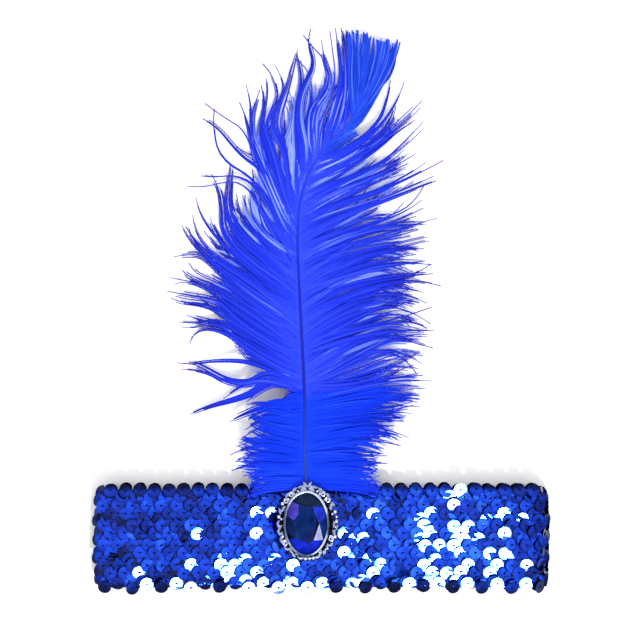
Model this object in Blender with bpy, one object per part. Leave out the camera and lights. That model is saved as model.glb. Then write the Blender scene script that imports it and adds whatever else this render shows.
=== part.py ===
"""Flapper headband, laid flat as it is stored.

A loop of stretch trim lies flattened on a table: a knit band inside, five zigzag rows of
cup sequins outside. An ostrich plume lies on the front layer, its quill under an oval brooch
with a cast scroll setting and one large faceted stone.

Metres, +Z up. The table is z = 0, +X runs along the band and +Y towards the plume's tip.
The origin is the middle of the band's underside.
"""

import math

import bmesh
import bpy
from mathutils import Vector

# Band: overall sizes with its sequins, lying flat
BAND_LENGTH = 0.2134
BAND_WIDTH = 0.050
KNIT_WIDTH = 0.045
KNIT_THICKNESS = 0.0010
HOLLOW_MIDDLE = 0.0054
HOLLOW_ENDS = 0.0072
LEVEL_HALF = 0.030
CORNER_PULL = 0.0016
CORNER_INSET = 0.0022

# Sequin rows
ROWS = 5
ROW_PITCH = 0.00925
SEQUIN_PITCH = 0.0078
SEQUIN_DEPTH = 0.0019
SEQUIN_EDGE_DEPTH = 0.0011
VALLEY_DEPTH = 0.0012
ROW_HALF_CREST = 0.00485
ROW_HALF_VALLEY = 0.0041
OUTER_SCALLOP = 0.0013
GAP = 0.0003
FOLD_STEPS = 6
BACK_STEPS = 8

# The loop's inside floor, the middle of its folds, and the top of its front layer
HOLLOW_FLOOR = SEQUIN_DEPTH + GAP + KNIT_THICKNESS
FOLD_RADIUS = HOLLOW_ENDS / 2
FOLD_X = BAND_LENGTH / 2 - FOLD_RADIUS - HOLLOW_FLOOR
FRONT_TOP = HOLLOW_FLOOR + HOLLOW_MIDDLE + HOLLOW_FLOOR

# Brooch: middle of its stone and of its border, on the front layer
STONE_X, STONE_Y = -0.0066, 0.0072
BORDER_X, BORDER_Y = -0.0063, 0.0075
STONE_HALF = (0.0100, 0.0147)
FOOT_Z = FRONT_TOP + GAP
STONE_BOTTOM = FOOT_Z + 0.0030
GIRDLE_HEIGHT = 0.0012
CROWN_HEIGHT = 0.0032
TABLE_SHARE = 0.58
FACETS = 8
OVAL_SIDES = 28
BORDER_HALF = (0.0127, 0.0162)
BORDER_Z = FOOT_Z + 0.0032
SCROLL_RADIUS = 0.00135
SCROLL_WIRE = 0.00052
SCROLL_TURN = 290.0
SCROLL_POINTS = 7
CREST_SPREAD = 32.0
CREST_SIZE = (0.0030, 0.0012)
NOTCH_SIZE = (0.0036, 0.0060, 0.0040)

# The setting's wall, as distances outwards from the stone's girdle and heights above its foot:
# an open ledge under the stone, the foot, a flange that carries the border, and the bezel with
# its lip over the stone's edge.
SETTING_WALL = (
    (-0.0012, 0.0020),
    (0.0001, 0.0020),
    (0.0001, 0.0),
    (0.0009, 0.0),
    (0.0009, 0.0020),
    (0.0025, 0.0024),
    (0.0025, 0.0031),
    (0.0012, 0.0034),
    (0.0009, 0.0053),
    (0.0003, 0.0059),
    (-0.0005, 0.0059),
    (-0.0005, 0.0053),
    (0.0003, 0.0048),
    (0.0003, 0.0027),
    (-0.0012, 0.0027),
)

# Lengths and widths of the border's lenses, and half of the border by degrees from its crest
LENSES = {
    "long leaf": (0.0044, 0.0020),
    "leaf": (0.0030, 0.0019),
    "bead": (0.0022, 0.0022),
    "small bead": (0.0018, 0.0018),
}
HALF_BORDER = (
    (13.0, "long leaf"),
    (30.0, "scroll"),
    (45.0, "scroll"),
    (59.0, "leaf"),
    (73.0, "bead"),
    (87.0, "scroll"),
    (101.0, "bead"),
    (115.0, "scroll"),
    (129.0, "leaf"),
    (143.0, "scroll"),
    (157.0, "leaf"),
    (170.0, "small bead"),
)

# Plume
QUILL_RADIUS = 0.00085
QUILL_TIP_RADIUS = 0.0004
LOCK_FLATNESS = 3.4
LOCK_TIER = 0.0007
DROOP_REACH = 0.040
LONG_LOCK = 0.055
TABLE_CLEARANCE = 0.0003
WELD = 1e-6

# A lock's width along it: share of its length, share of its widest
LOCK_PROFILE = ((0.0, 0.75), (0.3, 1.0), (0.65, 0.9), (0.87, 0.45), (1.0, 0.12))

# Middle line of the quill from its hidden end to the start of the tip tuft: x, y, height
QUILL_ROUTE = (
    (-0.0070, 0.0030, 0.0130),
    (-0.0072, 0.0264, 0.0131),
    (-0.0079, 0.0460, 0.0132),
    (-0.0079, 0.0647, 0.0128),
    (-0.0091, 0.0927, 0.0114),
    (-0.0105, 0.1207, 0.0098),
    (-0.0112, 0.1394, 0.0086),
    (-0.0103, 0.1557, 0.0076),
    (-0.0072, 0.1674, 0.0070),
    (-0.0026, 0.1768, 0.0066),
    (0.0035, 0.1847, 0.0064),
    (0.0100, 0.1908, 0.0066),
    (0.0161, 0.1992, 0.0076),
    (0.0194, 0.2070, 0.0088),
)

# Locks of the vane. root is the quill's y where a lock leaves it, then come its widest, its
# length, and its headings at the root, a third, two thirds and the tip, in degrees outwards
# from +Y.
LOCK_COLUMNS = ("root", "width", "length", "heads")
LEFT_LOCKS = (
    (0.0292, 0.0078, 0.027, (94, 92, 98, 104)),
    (0.0350, 0.0095, 0.031, (95, 92, 90, 86)),
    (0.0420, 0.0095, 0.030, (92, 88, 80, 72)),
    (0.0495, 0.0095, 0.026, (88, 80, 70, 60)),
    (0.0565, 0.0090, 0.022, (82, 70, 58, 50)),
    (0.0622, 0.0070, 0.015, (74, 62, 52, 45)),
    (0.0735, 0.0030, 0.057, (92, 108, 108, 112)),
    (0.0768, 0.0045, 0.059, (92, 104, 78, 84)),
    (0.0820, 0.0070, 0.058, (94, 87, 87, 92)),
    (0.0870, 0.0085, 0.055, (88, 76, 64, 112)),
    (0.0922, 0.0090, 0.057, (84, 71, 80, 92)),
    (0.0988, 0.0095, 0.063, (80, 64, 80, 85)),
    (0.1053, 0.0095, 0.058, (76, 63, 70, 68)),
    (0.1137, 0.0100, 0.062, (76, 62, 63, 88)),
    (0.1212, 0.0100, 0.061, (78, 62, 54, 60)),
    (0.1273, 0.0100, 0.060, (74, 58, 47, 34)),
    (0.1338, 0.0100, 0.058, (70, 50, 20, 26)),
    (0.1400, 0.0095, 0.056, (62, 40, 38, 60)),
    (0.1464, 0.0085, 0.066, (48, 26, 45, 55)),
    (0.1495, 0.0085, 0.063, (40, 32, 6, 8)),
    (0.1540, 0.0090, 0.066, (26, 22, 4, 20)),
    (0.1600, 0.0105, 0.068, (12, 12, -8, 14)),
    (0.1680, 0.0100, 0.070, (-2, 2, -20, 8)),
    (0.1770, 0.0075, 0.062, (-6, -4, -26, 16)),
    (0.1870, 0.0075, 0.052, (-5, -15, -8, 5)),
    (0.1950, 0.0075, 0.041, (16, 6, -2, 0)),
    (0.2010, 0.0080, 0.037, (4, 0, -3, -2)),
)
RIGHT_LOCKS = (
    (0.0292, 0.0078, 0.034, (92, 92, 96, 94)),
    (0.0355, 0.0090, 0.036, (86, 88, 100, 92)),
    (0.0420, 0.0090, 0.041, (84, 86, 94, 98)),
    (0.0490, 0.0095, 0.046, (82, 84, 92, 112)),
    (0.0550, 0.0105, 0.049, (80, 84, 90, 86)),
    (0.0610, 0.0105, 0.052, (75, 79, 82, 90)),
    (0.0660, 0.0105, 0.056, (68, 70, 78, 98)),
    (0.0710, 0.0095, 0.060, (62, 63, 73, 104)),
    (0.0770, 0.0095, 0.063, (58, 62, 69, 100)),
    (0.0840, 0.0095, 0.064, (54, 60, 69, 102)),
    (0.0912, 0.0095, 0.066, (52, 60, 70, 104)),
    (0.0985, 0.0095, 0.067, (52, 58, 71, 100)),
    (0.1060, 0.0095, 0.063, (54, 58, 72, 88)),
    (0.1135, 0.0095, 0.063, (54, 60, 78, 100)),
    (0.1210, 0.0095, 0.064, (56, 60, 78, 94)),
    (0.1285, 0.0095, 0.066, (56, 62, 78, 84)),
    (0.1360, 0.0090, 0.060, (60, 66, 78, 88)),
    (0.1435, 0.0090, 0.060, (64, 70, 70, 70)),
    (0.1510, 0.0090, 0.065, (70, 72, 68, 76)),
    (0.1585, 0.0090, 0.066, (74, 72, 70, 68)),
    (0.1655, 0.0085, 0.058, (74, 70, 65, 56)),
    (0.1725, 0.0080, 0.053, (76, 72, 60, 44)),
    (0.1780, 0.0060, 0.052, (70, 66, 54, 40)),
    (0.1825, 0.0035, 0.049, (64, 62, 38, 20)),
    (0.1880, 0.0035, 0.044, (58, 46, 28, 8)),
    (0.1940, 0.0085, 0.045, (44, 35, 24, 6)),
    (0.2020, 0.0085, 0.035, (24, 16, 10, 4)),
    (0.2060, 0.0085, 0.030, (8, 4, 2, 0)),
)

COLOURS = {
    "knit": ((0.010, 0.030, 0.300), 0.85, 0.0),
    "sequin": ((0.010, 0.080, 0.720), 0.25, 0.5),
    "plume": ((0.020, 0.050, 0.900), 0.80, 0.0),
    "setting": ((0.600, 0.610, 0.600), 0.30, 1.0),
    "stone": ((0.005, 0.015, 0.350), 0.05, 0.0),
}

HEADBAND = bpy.data.collections.new("flapper_headband")
CUTTERS = bpy.data.collections.new("cutters")


def clear_scene():
    for old in list(bpy.data.objects):
        bpy.data.objects.remove(old)
    for collection in (HEADBAND, CUTTERS):
        bpy.context.scene.collection.children.link(collection)


def finish_of(name):
    """The shared Principled material of one finish."""
    found = bpy.data.materials.get(name)
    if found:
        return found
    colour, roughness, metallic = COLOURS[name]
    made = bpy.data.materials.new(name)
    made.use_nodes = True
    shader = made.node_tree.nodes["Principled BSDF"]
    shader.inputs["Base Color"].default_value = (*colour, 1.0)
    shader.inputs["Roughness"].default_value = roughness
    shader.inputs["Metallic"].default_value = metallic
    return made


def mesh_from_bmesh(name, shape):
    bmesh.ops.recalc_face_normals(shape, faces=shape.faces)
    mesh = bpy.data.meshes.new(name)
    shape.to_mesh(mesh)
    shape.free()
    return mesh


def add_part(name, mesh, finish, smooth_below=30.0):
    """A finished piece; edges sharper than the given angle stay crisp."""
    made = bpy.data.objects.new(name, mesh)
    mesh.materials.clear()
    mesh.materials.append(finish_of(finish))
    mesh.shade_smooth()
    mesh.set_sharp_from_angle(angle=math.radians(smooth_below))
    HEADBAND.objects.link(made)
    return made


def add_tool(name, mesh):
    """A solid that only shapes another one."""
    made = bpy.data.objects.new(name, mesh)
    made.hide_render = True
    made.display_type = "WIRE"
    CUTTERS.objects.link(made)
    return made


def evaluated_mesh(source):
    bpy.context.view_layer.update()
    return bpy.data.meshes.new_from_object(
        source.evaluated_get(bpy.context.evaluated_depsgraph_get())
    )


def join_solids(solids, name):
    """One mesh of closed solids that cross each other; the solids themselves are removed."""
    first, *others = solids
    for solid in others:
        union = first.modifiers.new(solid.name, "BOOLEAN")
        union.operation = "UNION"
        union.solver = "EXACT"
        union.object = solid
    mesh = evaluated_mesh(first)
    mesh.name = name
    for solid in solids:
        bpy.data.objects.remove(solid)
    return mesh


def tube(name, points, sides, flatness=1.0):
    """A closed tube through (point, radius) pairs, thinner along Z by its flatness."""
    curve = bpy.data.curves.new(name, "CURVE")
    curve.dimensions = "3D"
    curve.twist_mode = "Z_UP"
    curve.bevel_depth = 1.0
    curve.bevel_resolution = (sides - 4) // 2
    curve.use_fill_caps = True
    spline = curve.splines.new("POLY")
    spline.points.add(len(points) - 1)
    for target, (point, radius) in zip(spline.points, points):
        target.co = (point.x, point.y, point.z * flatness, 1.0)
        target.radius = radius
    source = bpy.data.objects.new(name, curve)
    source.scale.z = 1.0 / flatness
    CUTTERS.objects.link(source)
    mesh = evaluated_mesh(source)
    shape = bmesh.new()
    shape.from_mesh(mesh)
    bmesh.ops.remove_doubles(shape, verts=shape.verts, dist=WELD)
    made = add_tool(name, mesh_from_bmesh(name, shape))
    made.matrix_world = source.matrix_world
    bpy.data.objects.remove(source)
    return made


def loft_ring(name, rings):
    """A closed ring through cross-sections, each a list of as many points."""
    shape = bmesh.new()
    loops = [[shape.verts.new(point) for point in ring] for ring in rings]
    for ring, following in zip(loops, loops[1:] + loops[:1]):
        for i in range(len(ring)):
            j = (i + 1) % len(ring)
            shape.faces.new((ring[i], ring[j], following[j], following[i]))
    return mesh_from_bmesh(name, shape)


def smooth_step(share):
    share = min(max(share, 0.0), 1.0)
    return share * share * (3.0 - 2.0 * share)


# The band's loop, seen along Y: the inside of the knit, two runs and two round folds


def hollow_height(x):
    """The hollow is lowest in the middle, where the front layer sags, and highest at the folds."""
    share = (abs(x) - LEVEL_HALF) / (FOLD_X - LEVEL_HALF)
    return HOLLOW_MIDDLE + (HOLLOW_ENDS - HOLLOW_MIDDLE) * smooth_step(share)


def station(x, z, normal, fold):
    """A place on the loop: its x and z, the outward normal's x and z, and how far round a fold."""
    return {"x": x, "z": z, "normal": normal, "fold": fold}


def run_station(x, front):
    if not front:
        return station(x, HOLLOW_FLOOR, (0.0, -1.0), 0.0)
    step = 1e-4
    slope = (hollow_height(x + step) - hollow_height(x - step)) / (2 * step)
    length = math.hypot(slope, 1.0)
    return station(x, HOLLOW_FLOOR + hollow_height(x), (-slope / length, 1.0 / length), 0.0)


def fold_station(side, angle):
    """A place on the right (1) or left (-1) fold, the angle running from -90 below to 90 above."""
    across, up = side * math.cos(math.radians(angle)), math.sin(math.radians(angle))
    x = side * FOLD_X + across * FOLD_RADIUS
    z = HOLLOW_FLOOR + FOLD_RADIUS * (1.0 + up)
    return station(x, z, (across, up), abs(across))


def loop_stations(front_steps):
    """The whole loop from the left end of the back layer, round the right fold and back."""
    back = [run_station(-FOLD_X + 2 * FOLD_X * i / BACK_STEPS, False) for i in range(BACK_STEPS)]
    right = [fold_station(1, -90 + 180 * i / FOLD_STEPS) for i in range(FOLD_STEPS)]
    front = [run_station(FOLD_X - 2 * FOLD_X * i / front_steps, True) for i in range(front_steps)]
    left = [fold_station(-1, 90 - 180 * i / FOLD_STEPS) for i in range(FOLD_STEPS)]
    return back + right + front + left


def section_points(place, section):
    """A section of (y, distance outwards) pairs, set at its place on the loop."""
    across, up = place["normal"]
    points = []
    for y, out in section:
        inset = CORNER_INSET * place["fold"] * abs(2 * y / BAND_WIDTH) ** 4
        x = place["x"] + across * out - math.copysign(inset, place["x"])
        points.append((x, y, place["z"] + up * out))
    return points


def make_knit_band():
    rings = []
    for place in loop_stations(front_steps=20):
        half = KNIT_WIDTH / 2 - CORNER_PULL * place["fold"]
        corners = [(-half, 0.0), (half, 0.0), (half, KNIT_THICKNESS), (-half, KNIT_THICKNESS)]
        rings.append(section_points(place, corners))
    add_part("knit_band", loft_ring("knit_band", rings), "knit")


def row_edge(row, side, crest):
    """The y of one edge of a row; the two outermost edges reach out to the band's width."""
    middle = (row - (ROWS + 1) / 2) * ROW_PITCH
    outermost = row == (ROWS if side > 0 else 1)
    if outermost:
        return side * (BAND_WIDTH / 2 - (0.0 if crest else OUTER_SCALLOP))
    return middle + side * (ROW_HALF_CREST if crest else ROW_HALF_VALLEY)


def row_section(row, place, crest, flat):
    """One row across: a low roof with a high middle, or a slab where it lies on the table."""
    pull = 1.0 - CORNER_PULL * place["fold"] / (BAND_WIDTH / 2)
    low, high = (pull * row_edge(row, side, crest) for side in (-1, 1))
    inner = KNIT_THICKNESS + GAP
    ridge = SEQUIN_DEPTH if crest or flat else VALLEY_DEPTH
    edge = SEQUIN_DEPTH if flat else min(ridge, SEQUIN_EDGE_DEPTH)
    outer = ((high, inner + edge), ((low + high) / 2, inner + ridge), (low, inner + edge))
    return [(low, inner), (high, inner), *outer]


def make_sequin_rows():
    """Rows lie in antiphase, so that the crests of one nest in the valleys of the next."""
    stations = loop_stations(front_steps=2 * round(2 * FOLD_X / SEQUIN_PITCH))
    for row in range(1, ROWS + 1):
        rings = []
        for i, place in enumerate(stations):
            crest = (i + row) % 2 == 0
            section = row_section(row, place, crest, flat=i <= BACK_STEPS)
            rings.append(section_points(place, section))
        name = f"sequin_row_{row}"
        add_part(name, loft_ring(name, rings), "sequin")


# Brooch


def oval_point(middle, half, angle, z):
    """A point of an oval, its angle in degrees clockwise from +Y."""
    turn = math.radians(angle)
    return Vector((middle[0] + half[0] * math.sin(turn), middle[1] + half[1] * math.cos(turn), z))


def make_stone():
    """A table, a trapezium below each of its edges and a triangle below each of its corners."""
    middle = (STONE_X, STONE_Y)
    table = tuple(side * TABLE_SHARE for side in STONE_HALF)
    girdle_z = STONE_BOTTOM + GIRDLE_HEIGHT
    shape = bmesh.new()
    for k in range(FACETS):
        angle = 360.0 * k / FACETS
        corner = angle + 180.0 / FACETS
        shape.verts.new(oval_point(middle, table, corner, girdle_z + CROWN_HEIGHT))
        for edge in (angle - 90.0 / FACETS, angle + 90.0 / FACETS):
            shape.verts.new(oval_point(middle, STONE_HALF, edge, girdle_z))
            shape.verts.new(oval_point(middle, STONE_HALF, edge, STONE_BOTTOM))
    bmesh.ops.convex_hull(shape, input=shape.verts)
    add_part("brooch_stone", mesh_from_bmesh("brooch_stone", shape), "stone", smooth_below=5.0)


def make_wall():
    rings = []
    for k in range(OVAL_SIDES):
        angle = 360.0 * k / OVAL_SIDES
        ring = []
        for out, z in SETTING_WALL:
            half = tuple(side + out for side in STONE_HALF)
            ring.append(oval_point((STONE_X, STONE_Y), half, angle, FOOT_Z + z))
        rings.append(ring)
    return add_tool("wall", loft_ring("wall", rings))


def make_lens(name, place, heading, length, width):
    """A leaf of the border, or a bead where its length is its width."""
    shape = bmesh.new()
    bmesh.ops.create_uvsphere(shape, u_segments=10, v_segments=5, radius=0.5)
    bmesh.ops.scale(shape, verts=shape.verts, vec=(width, length, width))
    lens = add_tool(name, mesh_from_bmesh(name, shape))
    lens.location = place
    lens.rotation_euler.z = -heading
    return lens


def make_scroll(name, place, heading):
    """A C of round wire, open towards the stone."""
    points = []
    for k in range(SCROLL_POINTS):
        turn = heading + math.radians(SCROLL_TURN) * (k / (SCROLL_POINTS - 1) - 0.5)
        offset = Vector((math.sin(turn), math.cos(turn), 0.0)) * SCROLL_RADIUS
        points.append((place + offset, SCROLL_WIRE))
    return tube(name, points, sides=6)


def make_border():
    middle = Vector((BORDER_X, BORDER_Y, BORDER_Z))
    ornaments = []
    for side in (-1, 1):
        for degrees, ornament in HALF_BORDER:
            place = oval_point((BORDER_X, BORDER_Y), BORDER_HALF, side * degrees, BORDER_Z)
            outward = place - middle
            ahead = math.atan2(outward.x / BORDER_HALF[0] ** 2, outward.y / BORDER_HALF[1] ** 2)
            name = f"{ornament} {side * degrees:.0f}"
            if ornament == "scroll":
                ornaments.append(make_scroll(name, place, ahead))
            else:
                ornaments.append(make_lens(name, place, ahead + math.pi / 2, *LENSES[ornament]))
        spread = math.radians(side * CREST_SPREAD)
        reach = Vector((math.sin(spread), math.cos(spread), 0.0)) * CREST_SIZE[0] / 2
        foot = middle + Vector((0.0, BORDER_HALF[1], 0.0))
        ornaments.append(make_lens(f"crest {side}", foot + reach, spread, *CREST_SIZE))
    return ornaments


def make_setting():
    mesh = join_solids([make_wall(), *make_border()], "brooch_setting")
    setting = add_part("brooch_setting", mesh, "setting")
    shape = bmesh.new()
    bmesh.ops.create_cube(shape, size=1.0)
    bmesh.ops.scale(shape, verts=shape.verts, vec=NOTCH_SIZE)
    notch = add_tool("quill notch", mesh_from_bmesh("quill notch", shape))
    wall_y = STONE_Y + STONE_HALF[1]
    notch.location = (route_point(QUILL_ROUTE, wall_y).x, wall_y, FOOT_Z)
    cut = setting.modifiers.new("quill notch", "BOOLEAN")
    cut.operation = "DIFFERENCE"
    cut.solver = "EXACT"
    cut.object = notch


# Plume: every lock is a tapering tube along its own path, fused to the quill


def route_point(route, y):
    """A point of a route at height y, on smooth curves through the route's own points."""
    last = len(route) - 2
    i = next((k for k in range(last) if y < route[k + 1][1]), last)
    before, start, end, after = (
        Vector(route[min(max(k, 0), last + 1)]) for k in range(i - 1, i + 3)
    )
    t = (y - start.y) / (end.y - start.y)
    point = (2 * t**3 - 3 * t**2 + 1) * start + (t**3 - 2 * t**2 + t) * (end - before) / 2
    point += (3 * t**2 - 2 * t**3) * end + (t**3 - t**2) * (after - start) / 2
    point.y = y
    return point


def heading_at(heads, share):
    place = min(share, 0.9999) * (len(heads) - 1)
    i = int(place)
    return heads[i] + (heads[i + 1] - heads[i]) * smooth_step(place - i)


def lock_points(facts, side, tier):
    """Centre line and radius of a lock: it leaves the quill level, then droops to the table."""
    point = route_point(QUILL_ROUTE, facts["root"])
    top = point.z
    droops = smooth_step((facts["root"] - BAND_WIDTH / 2) / DROOP_REACH)
    droops *= min(facts["length"] / LONG_LOCK, 1.0)
    points = []
    before = 0.0
    for share, fullness in LOCK_PROFILE:
        turn = math.radians(heading_at(facts["heads"], (before + share) / 2))
        step = facts["length"] * (share - before)
        point = point + step * Vector((side * math.sin(turn), math.cos(turn), 0.0))
        radius = facts["width"] / 2 * fullness
        lowest = TABLE_CLEARANCE + radius / LOCK_FLATNESS
        drop = (top - lowest) * droops * smooth_step(share)
        height = max(top - drop + tier * math.sin(math.pi * share), lowest)
        points.append((Vector((point.x, point.y, height)), radius))
        before = share
    return points


def make_plume():
    first, last = QUILL_ROUTE[0][1], QUILL_ROUTE[-1][1]
    quill = []
    for _, y, _ in QUILL_ROUTE:
        share = (y - first) / (last - first)
        radius = QUILL_RADIUS + (QUILL_TIP_RADIUS - QUILL_RADIUS) * share
        quill.append((route_point(QUILL_ROUTE, y), radius))
    solids = [tube("quill", quill, sides=6)]
    for side, table in ((-1, LEFT_LOCKS), (1, RIGHT_LOCKS)):
        for i, row in enumerate(table):
            facts = dict(zip(LOCK_COLUMNS, row))
            tier = LOCK_TIER * (1 if (i + (side > 0)) % 2 else -1)
            points = lock_points(facts, side, tier)
            solids.append(tube(f"lock_{side}_{i}", points, sides=4, flatness=LOCK_FLATNESS))
    add_part("plume", join_solids(solids, "plume"), "plume")


def main():
    clear_scene()
    make_knit_band()
    make_sequin_rows()
    make_setting()
    make_stone()
    make_plume()


main()
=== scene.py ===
"""Flapper headband with its looks: sewn sequins on a knit loop, a dyed ostrich plume, and a
brooch of antiqued silver round a foiled glass stone.

Metres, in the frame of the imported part: +X along the band, +Y towards the plume's tip, +Z up,
the table at z = 0 and the origin at the middle of the band's underside. Every surface is worked
out with numpy as whole arrays, and each function says its formula.
"""

import bpy
import numpy as np
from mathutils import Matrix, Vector


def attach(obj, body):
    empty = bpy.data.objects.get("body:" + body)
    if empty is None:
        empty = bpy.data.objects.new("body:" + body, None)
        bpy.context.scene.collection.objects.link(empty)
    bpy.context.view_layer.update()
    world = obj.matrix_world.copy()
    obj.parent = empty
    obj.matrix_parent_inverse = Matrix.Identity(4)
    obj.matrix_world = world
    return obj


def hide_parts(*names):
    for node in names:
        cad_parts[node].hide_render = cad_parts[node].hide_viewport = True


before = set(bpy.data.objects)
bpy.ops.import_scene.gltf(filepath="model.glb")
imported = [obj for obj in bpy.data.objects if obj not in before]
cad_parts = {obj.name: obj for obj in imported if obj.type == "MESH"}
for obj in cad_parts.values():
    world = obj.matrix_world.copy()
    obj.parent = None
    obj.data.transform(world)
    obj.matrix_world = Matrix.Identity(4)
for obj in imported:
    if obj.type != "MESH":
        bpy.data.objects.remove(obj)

MM = 0.001
UP = np.array((0.0, 0.0, 1.0))
TO_PLUME = np.array((0.0, 1.0, 0.0))
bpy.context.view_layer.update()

# Photograph: one pixel on the band's plane, and the pixel of the frame's origin
PIXEL = 0.467 * MM
ORIGIN_PIXEL = (321.5, 538.5)
PHOTO_SIDE = 636
CAMERA_DISTANCE = 1.10
CAMERA_PLANE = 0.008
CAMERA_CLIP = (0.01, 20.0)
SENSOR = 36.0

# Band's loop, as in the part's source, with the knit's length when cut, the bit that its faces
# lie inside the source's, and the least that the square of its thickness falls to at its edges
BAND_LENGTH = 0.2134
BAND_WIDTH = 0.050
KNIT_WIDTH = 0.045
KNIT_THICKNESS = 0.0010
KNIT_SPARE = 0.00006
KNIT_THINNEST = 0.02
HOLLOW_MIDDLE = 0.0054
HOLLOW_ENDS = 0.0072
LEVEL_HALF = 0.030
CORNER_PULL = 0.0016
CORNER_INSET = 0.0022
HOLLOW_FLOOR = 0.0032
FOLD_RADIUS = HOLLOW_ENDS / 2
FOLD_X = BAND_LENGTH / 2 - FOLD_RADIUS - HOLLOW_FLOOR
# Points along a layer and round a fold of the loop, and along and across the knit
LOOP_STEPS = (401, 81)
KNIT_STEPS = (400, 24)

# Sequins: a thread zigzags along each row, and each one covers half of the one before
ROWS = 5
ROW_PITCH = 0.00925
ZIGZAG = np.array((1.0, 0.0, -1.0, 0.0))
ZIGZAG_HALF = 0.0029
ZIGZAG_STEP = 0.00169
CREST_X = 0.0581
SEQUIN_RADIUS = 0.00315
SEQUIN_SIDES = 14
SEQUIN_LIFT = 0.0010
SEQUIN_FLOOR = 0.00002
# How much lower the sequins between the crests lie, and how much higher those on them
CREST_LIFTS = (-0.00048, 0.00012)
# Spread of their places along the thread, across the row and in height
SEQUIN_STRAYS = (0.00018, 0.00022, 0.00006)
SHINGLE_TILT = 13.0
TILT_SPREAD = 4.5
# Sequins at the band's edges: how far they are moved out, how many degrees they roll outwards,
# how much of the bend their outer side takes, how much painted shade darkens them, how much more
# painted shade darkens their rim, and what share of their glints is left. Along the lower edge
# every second one stands proud of the rest, and the ones between lie back and mirror the lamp
EDGE_COLUMNS = ("out", "roll", "bend", "painted_dark", "rim", "glints")
EDGE_SEQUINS = {
    "inside": (0.0, 0.0, 0.0, 0.0, 0.0, 1.0),
    "beside": (0.0012, 5.95, 0.4, 0.0, 0.0, 1.0),
    "upper": (0.0014, 17.0, 1.0, 0.08, 0.0, 0.3),
    "proud": (0.0012, 17.0, 0.5, 0.40, 1.0, 0.3),
    "between": (-0.0008, 6.8, 1.0, 0.0, 0.0, 1.0),
}
EDGE_BEND = 0.55
PROUD_X = -0.0479
LOWER_EDGE_SHARE = 0.6
# How far up the band's surface has to face, as its normal's height, for a sequin to glint, to
# bend over the edge, to splay at a fold and to be darkened there with painted shade
UPWARD = {"glint": 0.8, "bend": 0.5, "splay": -0.2, "painted_dark": -0.5}
# At the folds every second one splays upwards and stands off, and the rest lie closer
FOLD_SPLAY = 0.50
FOLD_STEP = 0.0004
# Tone of the film: its mean and spread; then painted shade: how much darker it is painted at a
# fold, on a bent side and on a rim, and how fast the bent side darkens
SEQUIN_SHADE = (0.55, 0.18)
FOLD_SHADE = 0.45
EDGE_SHADE = 0.62
EDGE_SHADE_RATE = 1.4
RIM_SHADE = 0.20
# A painted highlight on one side of each cup: how much lighter it is, and which side: degrees from
# +X and their spread
CUP_PAINTED_HIGHLIGHT = 0.16
CUP_HIGHLIGHT_SIDE = (120.0, 50.0)
# Painted light and shade along the band, darker at the left and at the right end: X and what is
# added to a sequin's shade
PAINTED_LIGHT_COURSE = (
    (-0.107, -0.20), (-0.070, -0.16), (-0.030, -0.05), (0.030, 0.08), (0.085, 0.06),
    (0.098, -0.10), (0.107, -0.25),
)
# Radius and height of a sequin's rings, from its hole over the face and back underneath
SEQUIN_RINGS = ((0.58, 0.00), (2.45, 0.00), (3.15, 0.02), (2.45, -0.08), (0.58, -0.08))
# The thread up through a sequin's hole and down over its front: how far ahead of the hole and
# out from it, and its thickness
STITCH = (
    (0.0, -0.00045, 0.0008), (0.0, 0.00010, 0.0009), (0.0006, 0.00012, 0.0004),
    (0.0016, -0.00015, 0.0003),
)
STITCH_FLOOR = 0.0002

# Places where the sequins lie just so that they mirror the lamp: middle and half sizes in
# pixels of the photograph, and the share of the sequins that do
GLINT_COLUMNS = ("x", "y", "half_x", "half_y", "share")
GLINTS = (
    (210, 562, 26, 10, 0.44),
    (262, 572, 36, 18, 0.27),
    (220, 582, 36, 10, 0.40),
    (320, 585, 24, 10, 0.40),
    (362, 562, 19, 34, 0.36),
    (446, 548, 30, 52, 0.42),
    (498, 542, 28, 40, 0.37),
    (496, 576, 34, 16, 0.34),
    (458, 492, 12, 8, 0.90),
    (143, 576, 7, 11, 0.60),
    (118, 574, 6, 6, 0.80),
    (254, 534, 4, 9, 0.80),
    (255, 514, 4, 4, 0.80),
    (198, 534, 4, 4, 0.80),
    (276, 587, 38, 7, 0.72),
    (322, 586, 8, 6, 0.72),
    (272, 513, 3, 4, 0.80),
    (283, 550, 3, 3, 0.80),
    (359, 509, 4, 4, 0.80),
    (371, 513, 5, 5, 0.80),
    (345, 531, 4, 4, 0.80),
    (346, 552, 4, 5, 0.80),
)
# Such a place fades out between these shares of its half sizes. Sequins between the crests
# catch the lamp less often than its share, and those on them more often
GLINT_FADE = (0.75, 1.25)
GLINT_CHANCES = (0.6, 1.4)
# Degrees by which the mirroring ones spread, and by which all others keep off
GLINT_SPREAD = 0.5
GLINT_CLEAR = (10.0, 14.0)

# Plume: its locks lie as the part's do, and what holds only a few barbs is short here and
# reaches out as a wisp
QUILL_RADIUS = 0.00085
QUILL_TIP_RADIUS = 0.0004
DROOP_REACH = 0.040
LONG_LOCK = 0.055
TABLE_CLEARANCE = 0.0003
QUILL_STEPS = 240
QUILL_SIDES = 16
# Depth of the groove down the quill, in shares of its radius, and half its width in radians
GROOVE = (0.28, 0.45)
QUILL_ROUTE = (
    (-0.0070, 0.0030, 0.0130),
    (-0.0072, 0.0264, 0.0131),
    (-0.0079, 0.0460, 0.0132),
    (-0.0079, 0.0647, 0.0128),
    (-0.0091, 0.0927, 0.0114),
    (-0.0105, 0.1207, 0.0098),
    (-0.0112, 0.1394, 0.0086),
    (-0.0103, 0.1557, 0.0076),
    (-0.0072, 0.1674, 0.0070),
    (-0.0026, 0.1768, 0.0066),
    (0.0035, 0.1847, 0.0064),
    (0.0100, 0.1908, 0.0066),
    (0.0161, 0.1992, 0.0076),
    (0.0194, 0.2070, 0.0088),
)
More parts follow.
